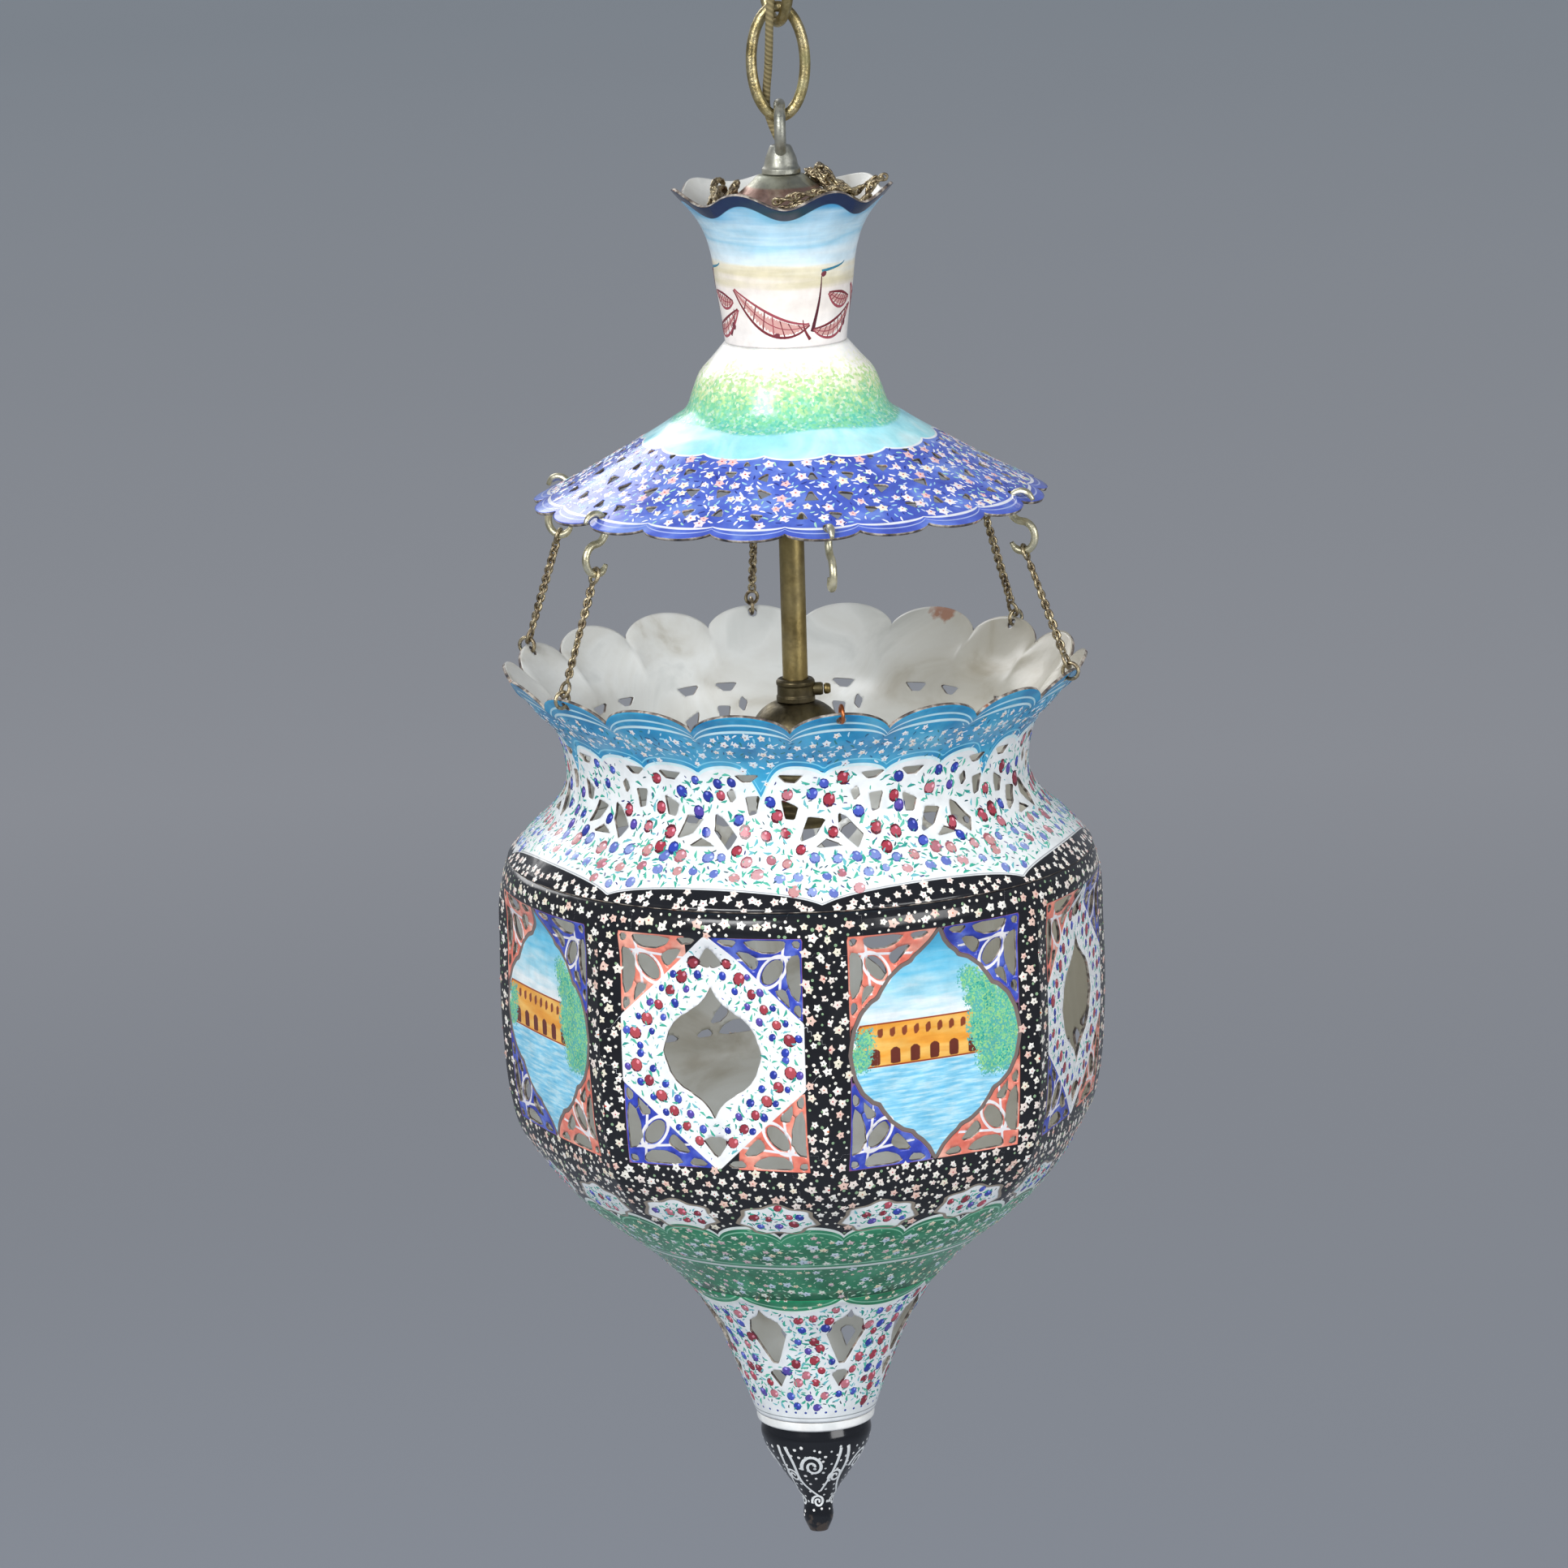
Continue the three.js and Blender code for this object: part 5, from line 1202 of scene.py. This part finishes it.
# A spiral under the collar with a long stalk at each side, a curl between, and a small spiral at the neck
finialSpiral(-6, 35.5, 0.9, 3.9, 1.35, 1.0 + 0.6 * t)
finialLine(-6, -11.5 + 12.5 * t ** 1.5 + 1.2 * np.sin(2 * math.pi * t), 45.5 - 28.5 * t, 1.6 - 0.6 * t)
finialLine(-6, 12.5 - 10.5 * t ** 1.3, 45 - 25 * t, 1.4 - 0.5 * t)
finialSpiral(30, 29, 0.6, 2.3, 1.4, 0.9 + 0.4 * t, -1)
finialSpiral(0, 14, 0.5, 2.1, 1.3, 0.9 + 0.3 * t)
finialParts += flowers(finial, 6, 46, 4.0, onFinial, ["#f0f0ee", "#d8dcdc"],
                       shape=roundDot, size=0.7)
decoration("finial_painting", finialParts, "bowl")

# Metals


def metalMaterial(name, stops, roughness, scale=90, patina=None, bump=0.15, band=None):
    # Bare metal under brown lacquer and handling: tone from soft noise, fine scratches in the gloss,
    # a patina colour that gathers in patches, and a colour above a height
    material, add, spot = newMaterial(name, stops[len(stops) // 2][1], Metallic=1.0, Roughness=roughness)
    tone = add("TexNoise", {"Scale": scale, "Detail": 6, "Roughness": 0.62, "Vector": spot})
    colour = add("ValToRGB", (tone,), stops=stops)
    if patina:
        patches = add("TexNoise", {"Scale": scale * 0.45, "Detail": 5, "Distortion": 0.8, "Vector": spot})
        colour = coats(add, colour, (add("MapRange", (patches, 0.5, 0.68, 0.0, patina[1])), patina[0]))
        joinTo(material, Metallic=add("MapRange", (patches, 0.5, 0.7, 1.0, 0.35)))
    if band:
        height = add("SeparateXYZ", (spot,), "Z")
        colour = coats(add, colour, (add("MapRange", (height, band[0], band[0] + 0.0008, 0.0, 0.85)), band[1]))
    fine = add("TexNoise", {"Scale": scale * 9, "Detail": 3, "Vector": spot})
    joinTo(material, Base_Color=colour,
           Roughness=add("MapRange", (fine, 0.25, 0.75, roughness * 0.75, roughness * 1.35)),
           Normal=add("Bump", {"Strength": bump, "Distance": 0.0006, "Height": fine}))
    return material


# Warm yellow shine, soft under the lacquer
ceilingBrass = metalMaterial("lacquered sheet brass", [(0.3, "#8f7440"), (0.5, "#b3965a"), (0.7, "#c4aa6c")], 0.3)
# Yellow rubbed highs on olive tarnish
chainBrass = metalMaterial(
    "drawn brass wire, tarnished", [(0.3, "#6b6040"), (0.48, "#a8986a"), (0.6, "#c8ba90"), (0.75, "#8a7e58")],
    0.38, 120, ("#75774e", 0.55), 0.4)
# Flat warm grey
zincPlate = metalMaterial(
    "zinc-plated steel, dulled", [(0.3, "#85877c"), (0.5, "#a9aaa0"), (0.7, "#bdbdb4")], 0.42, 140, ("#7d7a6a", 0.5))
# Pinkish brown in cloudy patches, grey-green at the top
copperCap = metalMaterial(
    "spun copper, oxidised", [(0.3, "#947466"), (0.5, "#b89a8e"), (0.65, "#caac9c"), (0.8, "#a08e7c")], 0.45, 70,
    ("#9aa08c", 0.7), band=(-0.1366, "#a3a898"))
# Orange-red wire without patina
bareCopper = metalMaterial("bare copper wire", [(0.3, "#7c4426"), (0.5, "#b4673c"), (0.7, "#cf8a5c")], 0.38, 160)
# Dull olive-brown tube
agedBrass = metalMaterial(
    "aged brass tube", [(0.28, "#615331"), (0.45, "#8e7d52"), (0.6, "#a79564"), (0.78, "#776740")], 0.4, 60,
    ("#4f4a36", 0.6))
# Nearly black in the hollows, with a soft brown gloss
lampholderBronze = metalMaterial(
    "dark bronze lampholder", [(0.3, "#40392a"), (0.5, "#5f5640"), (0.7, "#7d7250")], 0.42, 80, ("#3c3628", 0.6))
# Pale straw-coloured wire
hookBrass = metalMaterial(
    "pale brass wire", [(0.3, "#b2aa8a"), (0.5, "#dad4b6"), (0.7, "#eeead2")], 0.38, 150, ("#a89c74", 0.4))
# Dark links whose rubbed edges glint
darkBronze = metalMaterial(
    "bronze chain, dark with rubbed highs",
    [(0.3, "#524739"), (0.46, "#94856c"), (0.58, "#cfc19e"), (0.7, "#988a70")], 0.36, 420, ("#6a5a48", 0.4))
steel = metalMaterial("zinc-plated steel screw", [(0.3, "#7f8184"), (0.5, "#9c9ea0"), (0.7, "#b0b2b4")], 0.35, 200)
# Ivory glaze with faint clouds
porcelain, add, spot = newMaterial("glazed porcelain", "#e4e0d4", Roughness=0.18)
joinTo(porcelain, Base_Color=wash(180, (0.3, "#d6d0c0"), (0.6, "#eae7dc"), Detail=3)(add, spot))


def tubeMesh(path, radius, sides, closed=False, across=(1.0, 0, 0)):
    # A round section carried along a path: at each point it stands square to the way ahead, its first
    # direction nearest to across. An open tube gets a pole at each end
    ahead = (np.roll(path, -1, axis=0) - np.roll(path, 1, axis=0)) if closed else np.gradient(path, axis=0)
    ahead /= np.linalg.norm(ahead, axis=1, keepdims=True)
    first = np.broadcast_to(np.asarray(across, float), path.shape)
    first = first - (first * ahead).sum(1, keepdims=True) * ahead
    first /= np.linalg.norm(first, axis=1, keepdims=True)
    second = np.cross(ahead, first)
    turn = np.arange(sides) * 2 * math.pi / sides
    radius = np.broadcast_to(np.asarray(radius, float), (len(path),))
    ring = first[:, None] * np.cos(turn)[None, :, None] + second[:, None] * np.sin(turn)[None, :, None]
    points = (path[:, None] + ring * radius[:, None, None]).reshape(-1, 3)
    index = np.arange(len(path) * sides).reshape(len(path), sides)
    beside = np.roll(index, -1, axis=1)
    if closed:
        quads = [index, beside, np.roll(beside, -1, axis=0), np.roll(index, -1, axis=0)]
        return points, np.stack(quads, -1).reshape(-1, 4)
    faces = np.stack([index[:-1], beside[:-1], beside[1:], index[1:]], -1).reshape(-1, 4)
    start = np.full(sides, len(points))
    return np.concatenate([points, path[:1], path[-1:]]), [
        faces, np.stack([start, beside[0], index[0]], -1), np.stack([start + 1, index[-1], beside[-1]], -1)]


def wire(name, node, body, material, path, radius, sides, across=(1.0, 0, 0), closed=False):
    # A tube along a path in mm: lamp axis at x = y = 0, heights from the ceiling
    points, faces = tubeMesh(np.asarray(path, float), radius, sides, closed, across)
    return addPiece(name, points / 1000, faces, [material], body, node)


def ovalPath(middle, way, halfWidth, halfHeight, count):
    # A closed upright oval: halfWidth along the level way, halfHeight along the axis
    turn = np.arange(count) * 2 * math.pi / count
    return (np.asarray(middle) + halfWidth * np.sin(turn)[:, None] * np.asarray(way)
            + halfHeight * np.cos(turn)[:, None] * np.array([0, 0, 1.0]))


def wayAt(degrees):
    # Level direction at an angle from the x axis
    return np.array([math.cos(math.radians(degrees)), math.sin(math.radians(degrees)), 0.0])


def dressNodes(material, *names):
    # CAD nodes that keep their own solids and get a material
    for name in names:
        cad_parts[name].data.materials.clear()
        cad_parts[name].data.materials.append(material)


# Chain, hook and plate
chain = {"wire": 4.3, "halfWidth": 10.45, "halfHeight": 21.5}
for which, turn, top in (("upper", -60, -29.6), ("lower", 0, -66.55)):
    linkPath = ovalPath((0, 0, top - chain["halfHeight"]), wayAt(turn), chain["halfWidth"], chain["halfHeight"], 96)
    wire(f"chain_link_{which}_wire", f"chain_link_{which}", f"{which}_link", chainBrass, linkPath,
         chain["wire"] / 2, 20, wayAt(turn + 90), True)

# Ceiling hook: a shank from the plate, bent into an open ring square to the upper link
hook = {"wire": 5, "radius": 10.5, "middle": -24.25, "open": 130, "close": 385, "step": 25.5, "way": wayAt(30)}
bend = np.radians(np.arange(hook["open"], hook["close"] + 1, hook["step"]))[:, None]
hookBend = hook["radius"] * (np.cos(bend) * hook["way"] + np.sin(bend) * (0, 0, 1.0)) + (0, 0, hook["middle"])
hookPoints = [(0, 0, -1.8), (0, 0, -9.9), (0, 0, -12.75), *hookBend]
wire("ceiling_hook_wire", "ceiling_hook", "ceiling", ceilingBrass,
     smoothCurve(hookPoints, 0.8, 0.5)[1], hook["wire"] / 2, 20, wayAt(120))
dressNodes(ceilingBrass, "ceiling_plate", "ceiling_screw_1", "ceiling_screw_2")

# Hanging loop cast on its collar
loop = {"halfWidth": 8, "halfHeight": 9.6, "wire": 4.5, "middle": 261.35}
turned("loop_collar", "hanging_loop", "lamp", "zinc_plate", zincPlate, [
    (2.4, 250.4), (2.4, 255.2), (3.9, 255), (4.5, 254), (5.2, 252.2), (6.1, 250.05), (6.6, 247.6), (7.0, 246.6),
    (7.6, 246), (7.6, 244), (5.3, 244), (5.3, 249.5)], 64, 0.3)
loopPath = ovalPath((0, 0, loop["middle"] - lampDrop), (0, 1, 0), loop["halfWidth"], loop["halfHeight"], 80)
wire("loop_ring", "hanging_loop", "lamp", zincPlate, loopPath, loop["wire"] / 2, 20, closed=True)

# Spun cap in the crown's mouth, pipe and lampholder
cap = outlineOf((29.4, 221.4), (25.2, 228.5), (18, 235.6), (12, 240.8), (9.2, 243.4), (5.4, 243.7))
capOuter = np.column_stack([cap["radius"], cap["height"]])[::2]
capWay = np.gradient(capOuter, axis=0)
capWay /= np.linalg.norm(capWay, axis=1, keepdims=True)
capInner = capOuter + 1.2 * np.column_stack([-capWay[:, 1], capWay[:, 0]])
turned("crown_cap_cone", "crown_cap", "lamp", "copper_cap", copperCap, [*capOuter, *capInner[::-1]], 96, 0)
turned("stem_tube", "stem_pipe", "lamp", "aged_brass", agedBrass,
       [(3.4, 31), (5, 31), (5, 249.2), (3.4, 249.2)], 48, 0.2)
dome = outlineOf((18.2, 16.2), (18.2, 18.6), (18.0, 22.4), (16.9, 26.2), (15.2, 28.9), (12.6, 31.4), (9.6, 33.1),
                 (7.4, 33.7))
domeOuter = np.column_stack([dome["radius"], dome["height"]])[::2]
domeInner = np.column_stack([dome["radius"] - 1.0, dome["height"] - 0.6])[::-2]
turned("lampholder_cap", "lampholder_dome", "lamp", "aged_brass", lampholderBronze,
       [(18.7, 16.2), (18.7, 17.6), *domeOuter[3:], (5.3, 33.7), (5.3, 32.7), *domeInner[1:-1], (17.2, 16.2)],
       72, 0.15)
turned("lampholder_collar", "lampholder_clamp", "lamp", "aged_brass", lampholderBronze, [
    (5.3, 34), (7.7, 34), (7.7, 36), (7.3, 36.6), (7.3, 40.2), (7.7, 40.8), (7.7, 42), (6.9, 43), (5.3, 43)], 64, 0.2)
# The clamp's ear and the set screw's head, both across the axis: start, end, radii
for name, node, material, start, end, radii, sides in (
        ("lampholder_ear", "lampholder_clamp", lampholderBronze, 6.6, 10.9, [2.6, 2.6, 2.6, 2.6, 2.6, 2.2], 24),
        ("set_screw_head", "set_screw", agedBrass, 11.1, 13.9, [1.5, 2.2, 2.2, 2.2, 2.0, 1.5], 20)):
    path = np.column_stack([np.linspace(start, end, 6), np.zeros(6), np.full(6, 38.5 - lampDrop)])
    wire(name, node, "lamp", material, path, radii, sides, (0, 1, 0))
grooves = 0.35 * np.sin(np.linspace(0, 10 * math.pi, 41)) ** 2
holderOuter = np.column_stack([16.9 - grooves, np.linspace(14, -14.8, 41)])
turned("lampholder_body", "lampholder_shell", "lamp", "aged_brass", lampholderBronze,
       [(16.9, 20.0), *holderOuter, (15.9, -14.8), (15.9, 20.0)], 72, 0.1, 50)
dressNodes(copperCap, "support_disc")
dressNodes(agedBrass, "pipe_locknut")
dressNodes(porcelain, "holder_insulator")
dressNodes(hookBrass, "screw_shell", "centre_contact")
dressNodes(steel, "finial_stud", "finial_nut")

# White enamel of the foot, brighter than the inside
footEnamel = enamel("white enamel, foot", whiteGlaze, [])
turned("foot_plate", "foot_disc", "bowl", "bowl_enamel", footEnamel, [
    (2.3, -262), (22.5, -262), (23.6, -261.2), (23.9, -260), (23.9, -257.9), (21.6, -257.8), (21.6, -254.8),
    (2.3, -254.8)], 96, 0.3)
print("pipe and lampholder done")

# Hooks, fine chains and rings
hanger = {
    "hookWire": 3.0, "halfWidth": 5.1, "halfHeight": 5.9,
    "turn": 245,            # degrees that each half of the S bends through
    "seatDrop": 3.25,       # its upper bend's inner side, below the brim's face
    "ringRadius": 3.2, "ringWire": 1.5, "ringAt": (115.37, 51.12),
    "eyeRadius": 3.0, "eyeWire": 1.44, "pitch": 2.1,
}


def outFrom(angle, radius, height):
    # A point in mm from the ceiling: radius from the axis at an angle, height on the lamp
    turn = math.radians(angle)
    return np.array([radius * math.sin(turn), -radius * math.cos(turn), height - lampDrop])


# One curb link, bent a little out of its plane
linkTurn = np.arange(14) * 2 * math.pi / 14
linkBend = np.column_stack([1.3 * np.sin(linkTurn), 0.5 * np.sin(linkTurn) * np.cos(linkTurn),
                            1.85 * np.cos(linkTurn)])
linkPoints, linkFaces = tubeMesh(linkBend, 0.56, 6, True, (0, 1, 0))


def chainRow(path, pitch, twist, start=0.0, lean=0.0):
    # The same small link set along a path, each turned on from the last one by twist and leant to
    # either side by turns
    length = np.r_[0, np.cumsum(np.linalg.norm(np.diff(path, axis=0), axis=1))]
    count = max(int(round(length[-1] / pitch)), 1)
    at = (np.arange(count) + 0.5) * length[-1] / count
    before, middle, after = (np.column_stack([np.interp(at + step, length, column) for column in path.T])
                             for step in (-0.4, 0, 0.4))
    ahead = after - before
    ahead /= np.linalg.norm(ahead, axis=1, keepdims=True)
    side = np.cross(ahead, np.array([0.37, 0.81, 0.45]))
    side /= np.linalg.norm(side, axis=1, keepdims=True)
    turn = np.radians(start + twist * np.arange(count) + lean * (-1) ** np.arange(count))[:, None]
    across = side * np.cos(turn) + np.cross(ahead, side) * np.sin(turn)
    normal = np.cross(ahead, across)
    points = (middle[:, None] + linkPoints[None, :, :1] * across[:, None] + linkPoints[None, :, 1:2] * normal[:, None]
              + linkPoints[None, :, 2:] * ahead[:, None])
    faces = linkFaces[None] + (np.arange(count) * len(linkPoints))[:, None, None]
    return points.reshape(-1, 3), faces.reshape(-1, 4)


def chainPiece(name, node, body, parts):
    # Many links in one mesh
    points, faces = joined(parts)
    addPiece(name, points / 1000, faces, [darkBronze], body, node)


for k, (angle, (seatRadius, seatHeight)) in enumerate(zip(hangerAngles, hookSeats)):
    body = f"hanger_{k + 1}" if k else "hook_1"
    outward, tangent = wayAt(angle - 90), wayAt(angle)
    # The hook stands in the upright plane through the axis; its first half bends inwards through the brim
    t = np.linspace(0, 1, 64)
    sweep = np.radians(hanger["turn"] * np.abs(2 * t - 1))
    side = np.where(t < 0.5, 1, -1)
    middleHeight = seatHeight - hanger["seatDrop"] - hanger["halfHeight"]
    inward = (side * hanger["halfWidth"] * np.sin(sweep))[:, None]
    upward = (side * hanger["halfHeight"] * (1 - np.cos(sweep)))[:, None]
    path = outFrom(angle, seatRadius, middleHeight) - outward * inward + np.array([0, 0, 1.0]) * upward
    thin = np.minimum(1, 0.55 + 6 * np.minimum(t, 1 - t))
    wire(f"s_hook_wire_{k + 1}", f"s_hook_{k + 1}", body, hookBrass, path,
         hanger["hookWire"] / 2 * thin, 14, tangent)
    centre = outFrom(angle, *hanger["ringAt"])
    wire(f"rim_ring_wire_{k + 1}", f"rim_ring_{k + 1}", body if k else "bowl",
         darkBronze if k else bareCopper, ovalPath(centre, outward, hanger["ringRadius"], hanger["ringRadius"], 28),
         hanger["ringWire"] / 2, 10, tangent, True)
    if k == 0:
        continue
    base = outFrom(angle, seatRadius, middleHeight - 2 * hanger["halfHeight"])
    lean = (centre - base) / np.linalg.norm(centre - base)
    ends = [base + np.array([0, 0, 2.4]) + 3.0 * lean, centre - lean * (1.2 + 3.0)]
    turn = np.arange(28) * 2 * math.pi / 28
    # The end links are rounder, set across the hook and the ring
    oval = hanger["eyeRadius"] * (0.8 * np.sin(turn)[:, None] * tangent + np.cos(turn)[:, None] * lean)
    parts = [tubeMesh(eye + oval, hanger["eyeWire"] / 2, 8, True, np.cross(tangent, lean)) for eye in ends]
    run = ends[0] + (ends[1] - ends[0]) * np.linspace(0, 1, 40)[3:-3, None]
    parts.append(chainRow(run, hanger["pitch"], 5.0, 40.0 * k, 34.0))
    chainPiece(f"fine_chain_links_{k + 1}", f"fine_chain_{k + 1}", body, parts)

# Left-over fine chain, heaped in the crown's mouth: angle, radius and rise above the cap or crown
heapLong = [(-20, 25.5, 0.3), (-5, 26, 0.3), (10, 25.5, 0.3), (25, 26.5, 0.3), (40, 25.5, 0.3), (55, 26, 0.3),
            (70, 25.5, 0.3), (86, 24.6, 0.3), (100, 22, 0.5), (114, 19, 0.8), (112, 14.5, 1.4), (92, 13.5, 1.4),
            (76, 18, 2.6), (70, 24, 4.8), (76, 30, 8.2), (84, 36, 6.6), (88, 40.5, 4)]
heapShort = [(-128, 24, 0.3), (-112, 20, 0.4), (-96, 17.5, 0.4), (-80, 19.5, 0.4), (-66, 24, 0.3), (-52, 26, 0.3)]
heapOver = [(-124, 27, 6.0), (-108, 25, 9.0), (-92, 26, 10.5), (-76, 27, 9.5), (-64, 28.5, 8.0), (-54, 29, 5.0)]
heapFront = [(-6, 26, 6.0), (8, 27, 9.5), (22, 27.4, 11.2), (36, 27.4, 11.6), (50, 27.2, 11.4), (64, 27.6, 11.2),
             (78, 29, 12.0), (88, 33, 10.0), (94, 38, 5.0)]
heapBehind = [(84, 24, 5.5), (100, 19, 3.5), (116, 15.5, 2.6), (134, 15, 2.0), (150, 18, 1.4), (162, 23, 0.8)]


def strand(points, shift, twist, start=0.0):
    # One strand lies on the cap or the crown; shift moves it a little round, out and up
    angles, radii, rises = np.array(points).T
    capHeight = np.interp(-radii, -cap["radius"], cap["height"])
    crownHeight = np.interp(radii, crown["radius"], crown["height"])
    height = np.where(radii < 29.4, capHeight, crownHeight) + 2.6 + rises + shift[2]
    path = [outFrom(a + shift[0], r + shift[1], h) for a, r, h in zip(angles, radii, height)]
    return chainRow(smoothCurve(path, 0.6, 0.5)[1], 1.9, twist, start)


chainPiece("crown_chain_heap", "crown_chain_long", "lamp", [
    strand(heapLong, (0, 0, 0), 38), strand(heapLong[:14], (4, -2.4, 1.2), 42, 30),
    strand(heapLong[3:12], (-6, 1.8, 3.0), 36, 60), strand(heapLong[7:16], (5, 0.8, 1.6), 40, 10),
    strand(heapFront, (0, 0, 0), 38), strand(heapFront[:7], (5, -1.2, -3.0), 44, 20),
    strand(heapFront[1:8], (-3, 1.4, -4.4), 36, 70), strand(heapBehind, (0, 0, 0), 38, 50),
    strand(heapBehind, (-6, 1.6, -1.8), 41)])
chainPiece("crown_chain_end", "crown_chain_short", "lamp", [
    strand(heapShort, (0, 0, 1.0), 40), strand(heapOver, (0, 0, 0), 36, 30),
    strand(heapOver, (6, -1.5, -2.8), 42, 10), strand(heapOver, (-5, 1.2, -5.4), 40, 60)])
print("hooks and chains done")

# Twisted flex in a cotton braid: two tones of thread wound round it, about 1 mm apart
flexBraid, add, spot = newMaterial("cotton-braided flex", "#8a7a44", Roughness=0.75)
flexScaled = add("Mapping", {"Vector": add("TexCoord", out="UV"), "Scale": (4.0, 1.0, 1.0)})
flexWave = add("TexWave", {"Scale": 0.32, "Distortion": 0.6, "Detail": 2, "Vector": flexScaled}, "Fac",
               wave_type="BANDS", bands_direction="DIAGONAL")
flexTone = add("ValToRGB", (flexWave,), stops=[(0.2, "#6e6444"), (0.5, "#7c704c"), (0.8, "#887c58")])
joinTo(flexBraid, Base_Color=flexTone,
       Normal=add("Bump", {"Strength": 0.6, "Distance": 0.0004, "Height": flexWave}))

# The route's points as in the part, in metres: ceiling, both links, loop and pipe
flexRoute = [
    (0.004, 0.012, -0.0004), (0.004, 0.012, -0.012), (0.0032, 0.010, -0.024), (0.0013, 0.0072, -0.037),
    (0.0006, 0.0042, -0.044), (0, 0.0008, -0.051), (-0.0012, -0.0022, -0.058), (-0.0024, -0.0044, -0.065),
    (-0.003, -0.0052, -0.073), (-0.0034, -0.0034, -0.082), (-0.004, 0.0002, -0.091), (-0.0049, 0.0036, -0.100),
    (-0.005, 0.0049, -0.106), (-0.0032, 0.0034, -0.1125), (-0.0009, 0.001, -0.118), (-0.0001, 0.0001, -0.1196),
    (0, 0, -0.1226), (0, 0, -0.1616),
]
flex = {"radius": 1.6, "sides": 16}
flexDown = np.column_stack([np.zeros(100), np.zeros(100), np.linspace(-162.2, -359.1, 100)])
flexPath = np.concatenate([smoothCurve(np.array(flexRoute) * 1000, 0.5, 0.5)[1], flexDown])
cuts = [0, *[int(np.argmax(flexPath[:, 2] < level)) for level in (-51.0, -88.0, -114.0)], len(flexPath) - 1]
# Each length of flex, and the two bodies that it bends between
flexParts = [("flex_at_hook", "flex_ceiling", ("ceiling", "upper_link"), -0.029, -0.041),
             ("flex_in_links", "flex_upper", ("upper_link", "lower_link"), -0.064, -0.079),
             ("flex_at_loop", "flex_lower", ("lower_link", "lamp"), -0.102, -0.113),
             ("flex_in_pipe", "flex_stem", None, 0, 0)]
for (name, node, bodies, start, end), low, high in zip(flexParts, cuts[:-1], cuts[1:]):
    part = flexPath[low:high + 1]
    piece = wire(name, node, None if bodies else "lamp", flexBraid, part,
                 flex["radius"], flex["sides"], (0.2, 1, 0.1))
    layer = piece.data.uv_layers.new(name="length")
    corners = np.zeros(len(piece.data.loops), int)
    piece.data.loops.foreach_get("vertex_index", corners)
    inPart = np.minimum(corners // flex["sides"], len(part) - 1)
    uv = np.column_stack([(corners % flex["sides"]) / flex["sides"], (low + inPart) * 0.5])
    layer.data.foreach_set("uv", uv.astype(np.float32).ravel())
    if bodies:
        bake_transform(piece)
print("flex done")

# Floor and lights

stage = {"floorHeight": -1.45, "floorSize": 60, "world": 0.55, "backdrop": "#8b8f98"}
# Matt studio floor, darker near the lamp, where the softboxes reach it
floorMaterial, add, spot = newMaterial("matt grey studio floor", "#b9bcc5", Roughness=0.9, Specular_IOR_Level=0.1)
floorShare = add("MapRange", (add("VectorMath", (spot,), "Value", operation="LENGTH"), 0, 16))
floorTone = add("ValToRGB", (floorShare,), stops=[(0.16, "#9298a3"), (0.33, "#aeb2bb"), (0.85, "#a2abb6")])
floorUneven = add("MapRange", {0: add("TexNoise", {"Scale": 0.35, "Detail": 2, "Vector": spot}), 3: 0.97, 4: 1.03})
joinTo(floorMaterial, Base_Color=add("VectorMath", {0: floorTone, "Scale": floorUneven}, operation="SCALE"))
floorMesh = bpy.data.meshes.new("floor")
floorCorners = [(x * stage["floorSize"], y * stage["floorSize"], stage["floorHeight"])
                for x, y in ((-1, -1), (1, -1), (1, 1), (-1, 1))]
floorMesh.from_pydata(floorCorners, [], [(0, 1, 2, 3)])
floorMesh.materials.append(floorMaterial)
floor = bpy.data.objects.new("floor", floorMesh)
bpy.context.scene.collection.objects.link(floor)

world = bpy.data.worlds.new("studio")
bpy.context.scene.world = world
world.use_nodes = True
add = partial(addNode, world)
background = world.node_tree.nodes["Background"]
background.inputs["Color"].default_value = linear("#ffffff")
background.inputs["Strength"].default_value = stage["world"]
# The grey backdrop shows to the camera and in gloss and glass; the white world only lights
shown = add("LightPath", out="Is Camera Ray")
for kind in ("Is Glossy Ray", "Is Transmission Ray"):
    shown = add("Math", (shown, add("LightPath", out=kind)), operation="MAXIMUM")
seen = add("Background", {"Color": stage["backdrop"]})
chosen = add("MixShader", (shown, background.outputs[0], seen))
world.node_tree.links.new(chosen, world.node_tree.nodes["World Output"].inputs[0])


def softbox(name, place, target, size, power):
    # A square area lamp that looks at the target
    data = bpy.data.lights.new(name, "AREA")
    data.size = size
    data.energy = power
    lamp = bpy.data.objects.new(name, data)
    bpy.context.scene.collection.objects.link(lamp)
    way = Vector(target) - Vector(place)
    lamp.matrix_world = Matrix.Translation(place) @ way.to_track_quat("-Z", "Y").to_matrix().to_4x4()


softbox("key softbox", (-1.3, -2.2, 0.9), (0, 0, -0.4), 1.3, 60)
softbox("fill softbox", (1.7, -1.7, 0.1), (0, 0, -0.45), 1.2, 24)
softbox("bowl softbox", (0, 0, -0.352), (0, 0, -0.6), 0.1, 0.06)
softbox("rear softbox", (-1.1, 1.9, 0.9), (0, 0, -0.3), 1.2, 16)

scene = bpy.context.scene
scene.view_settings.view_transform = "Standard"
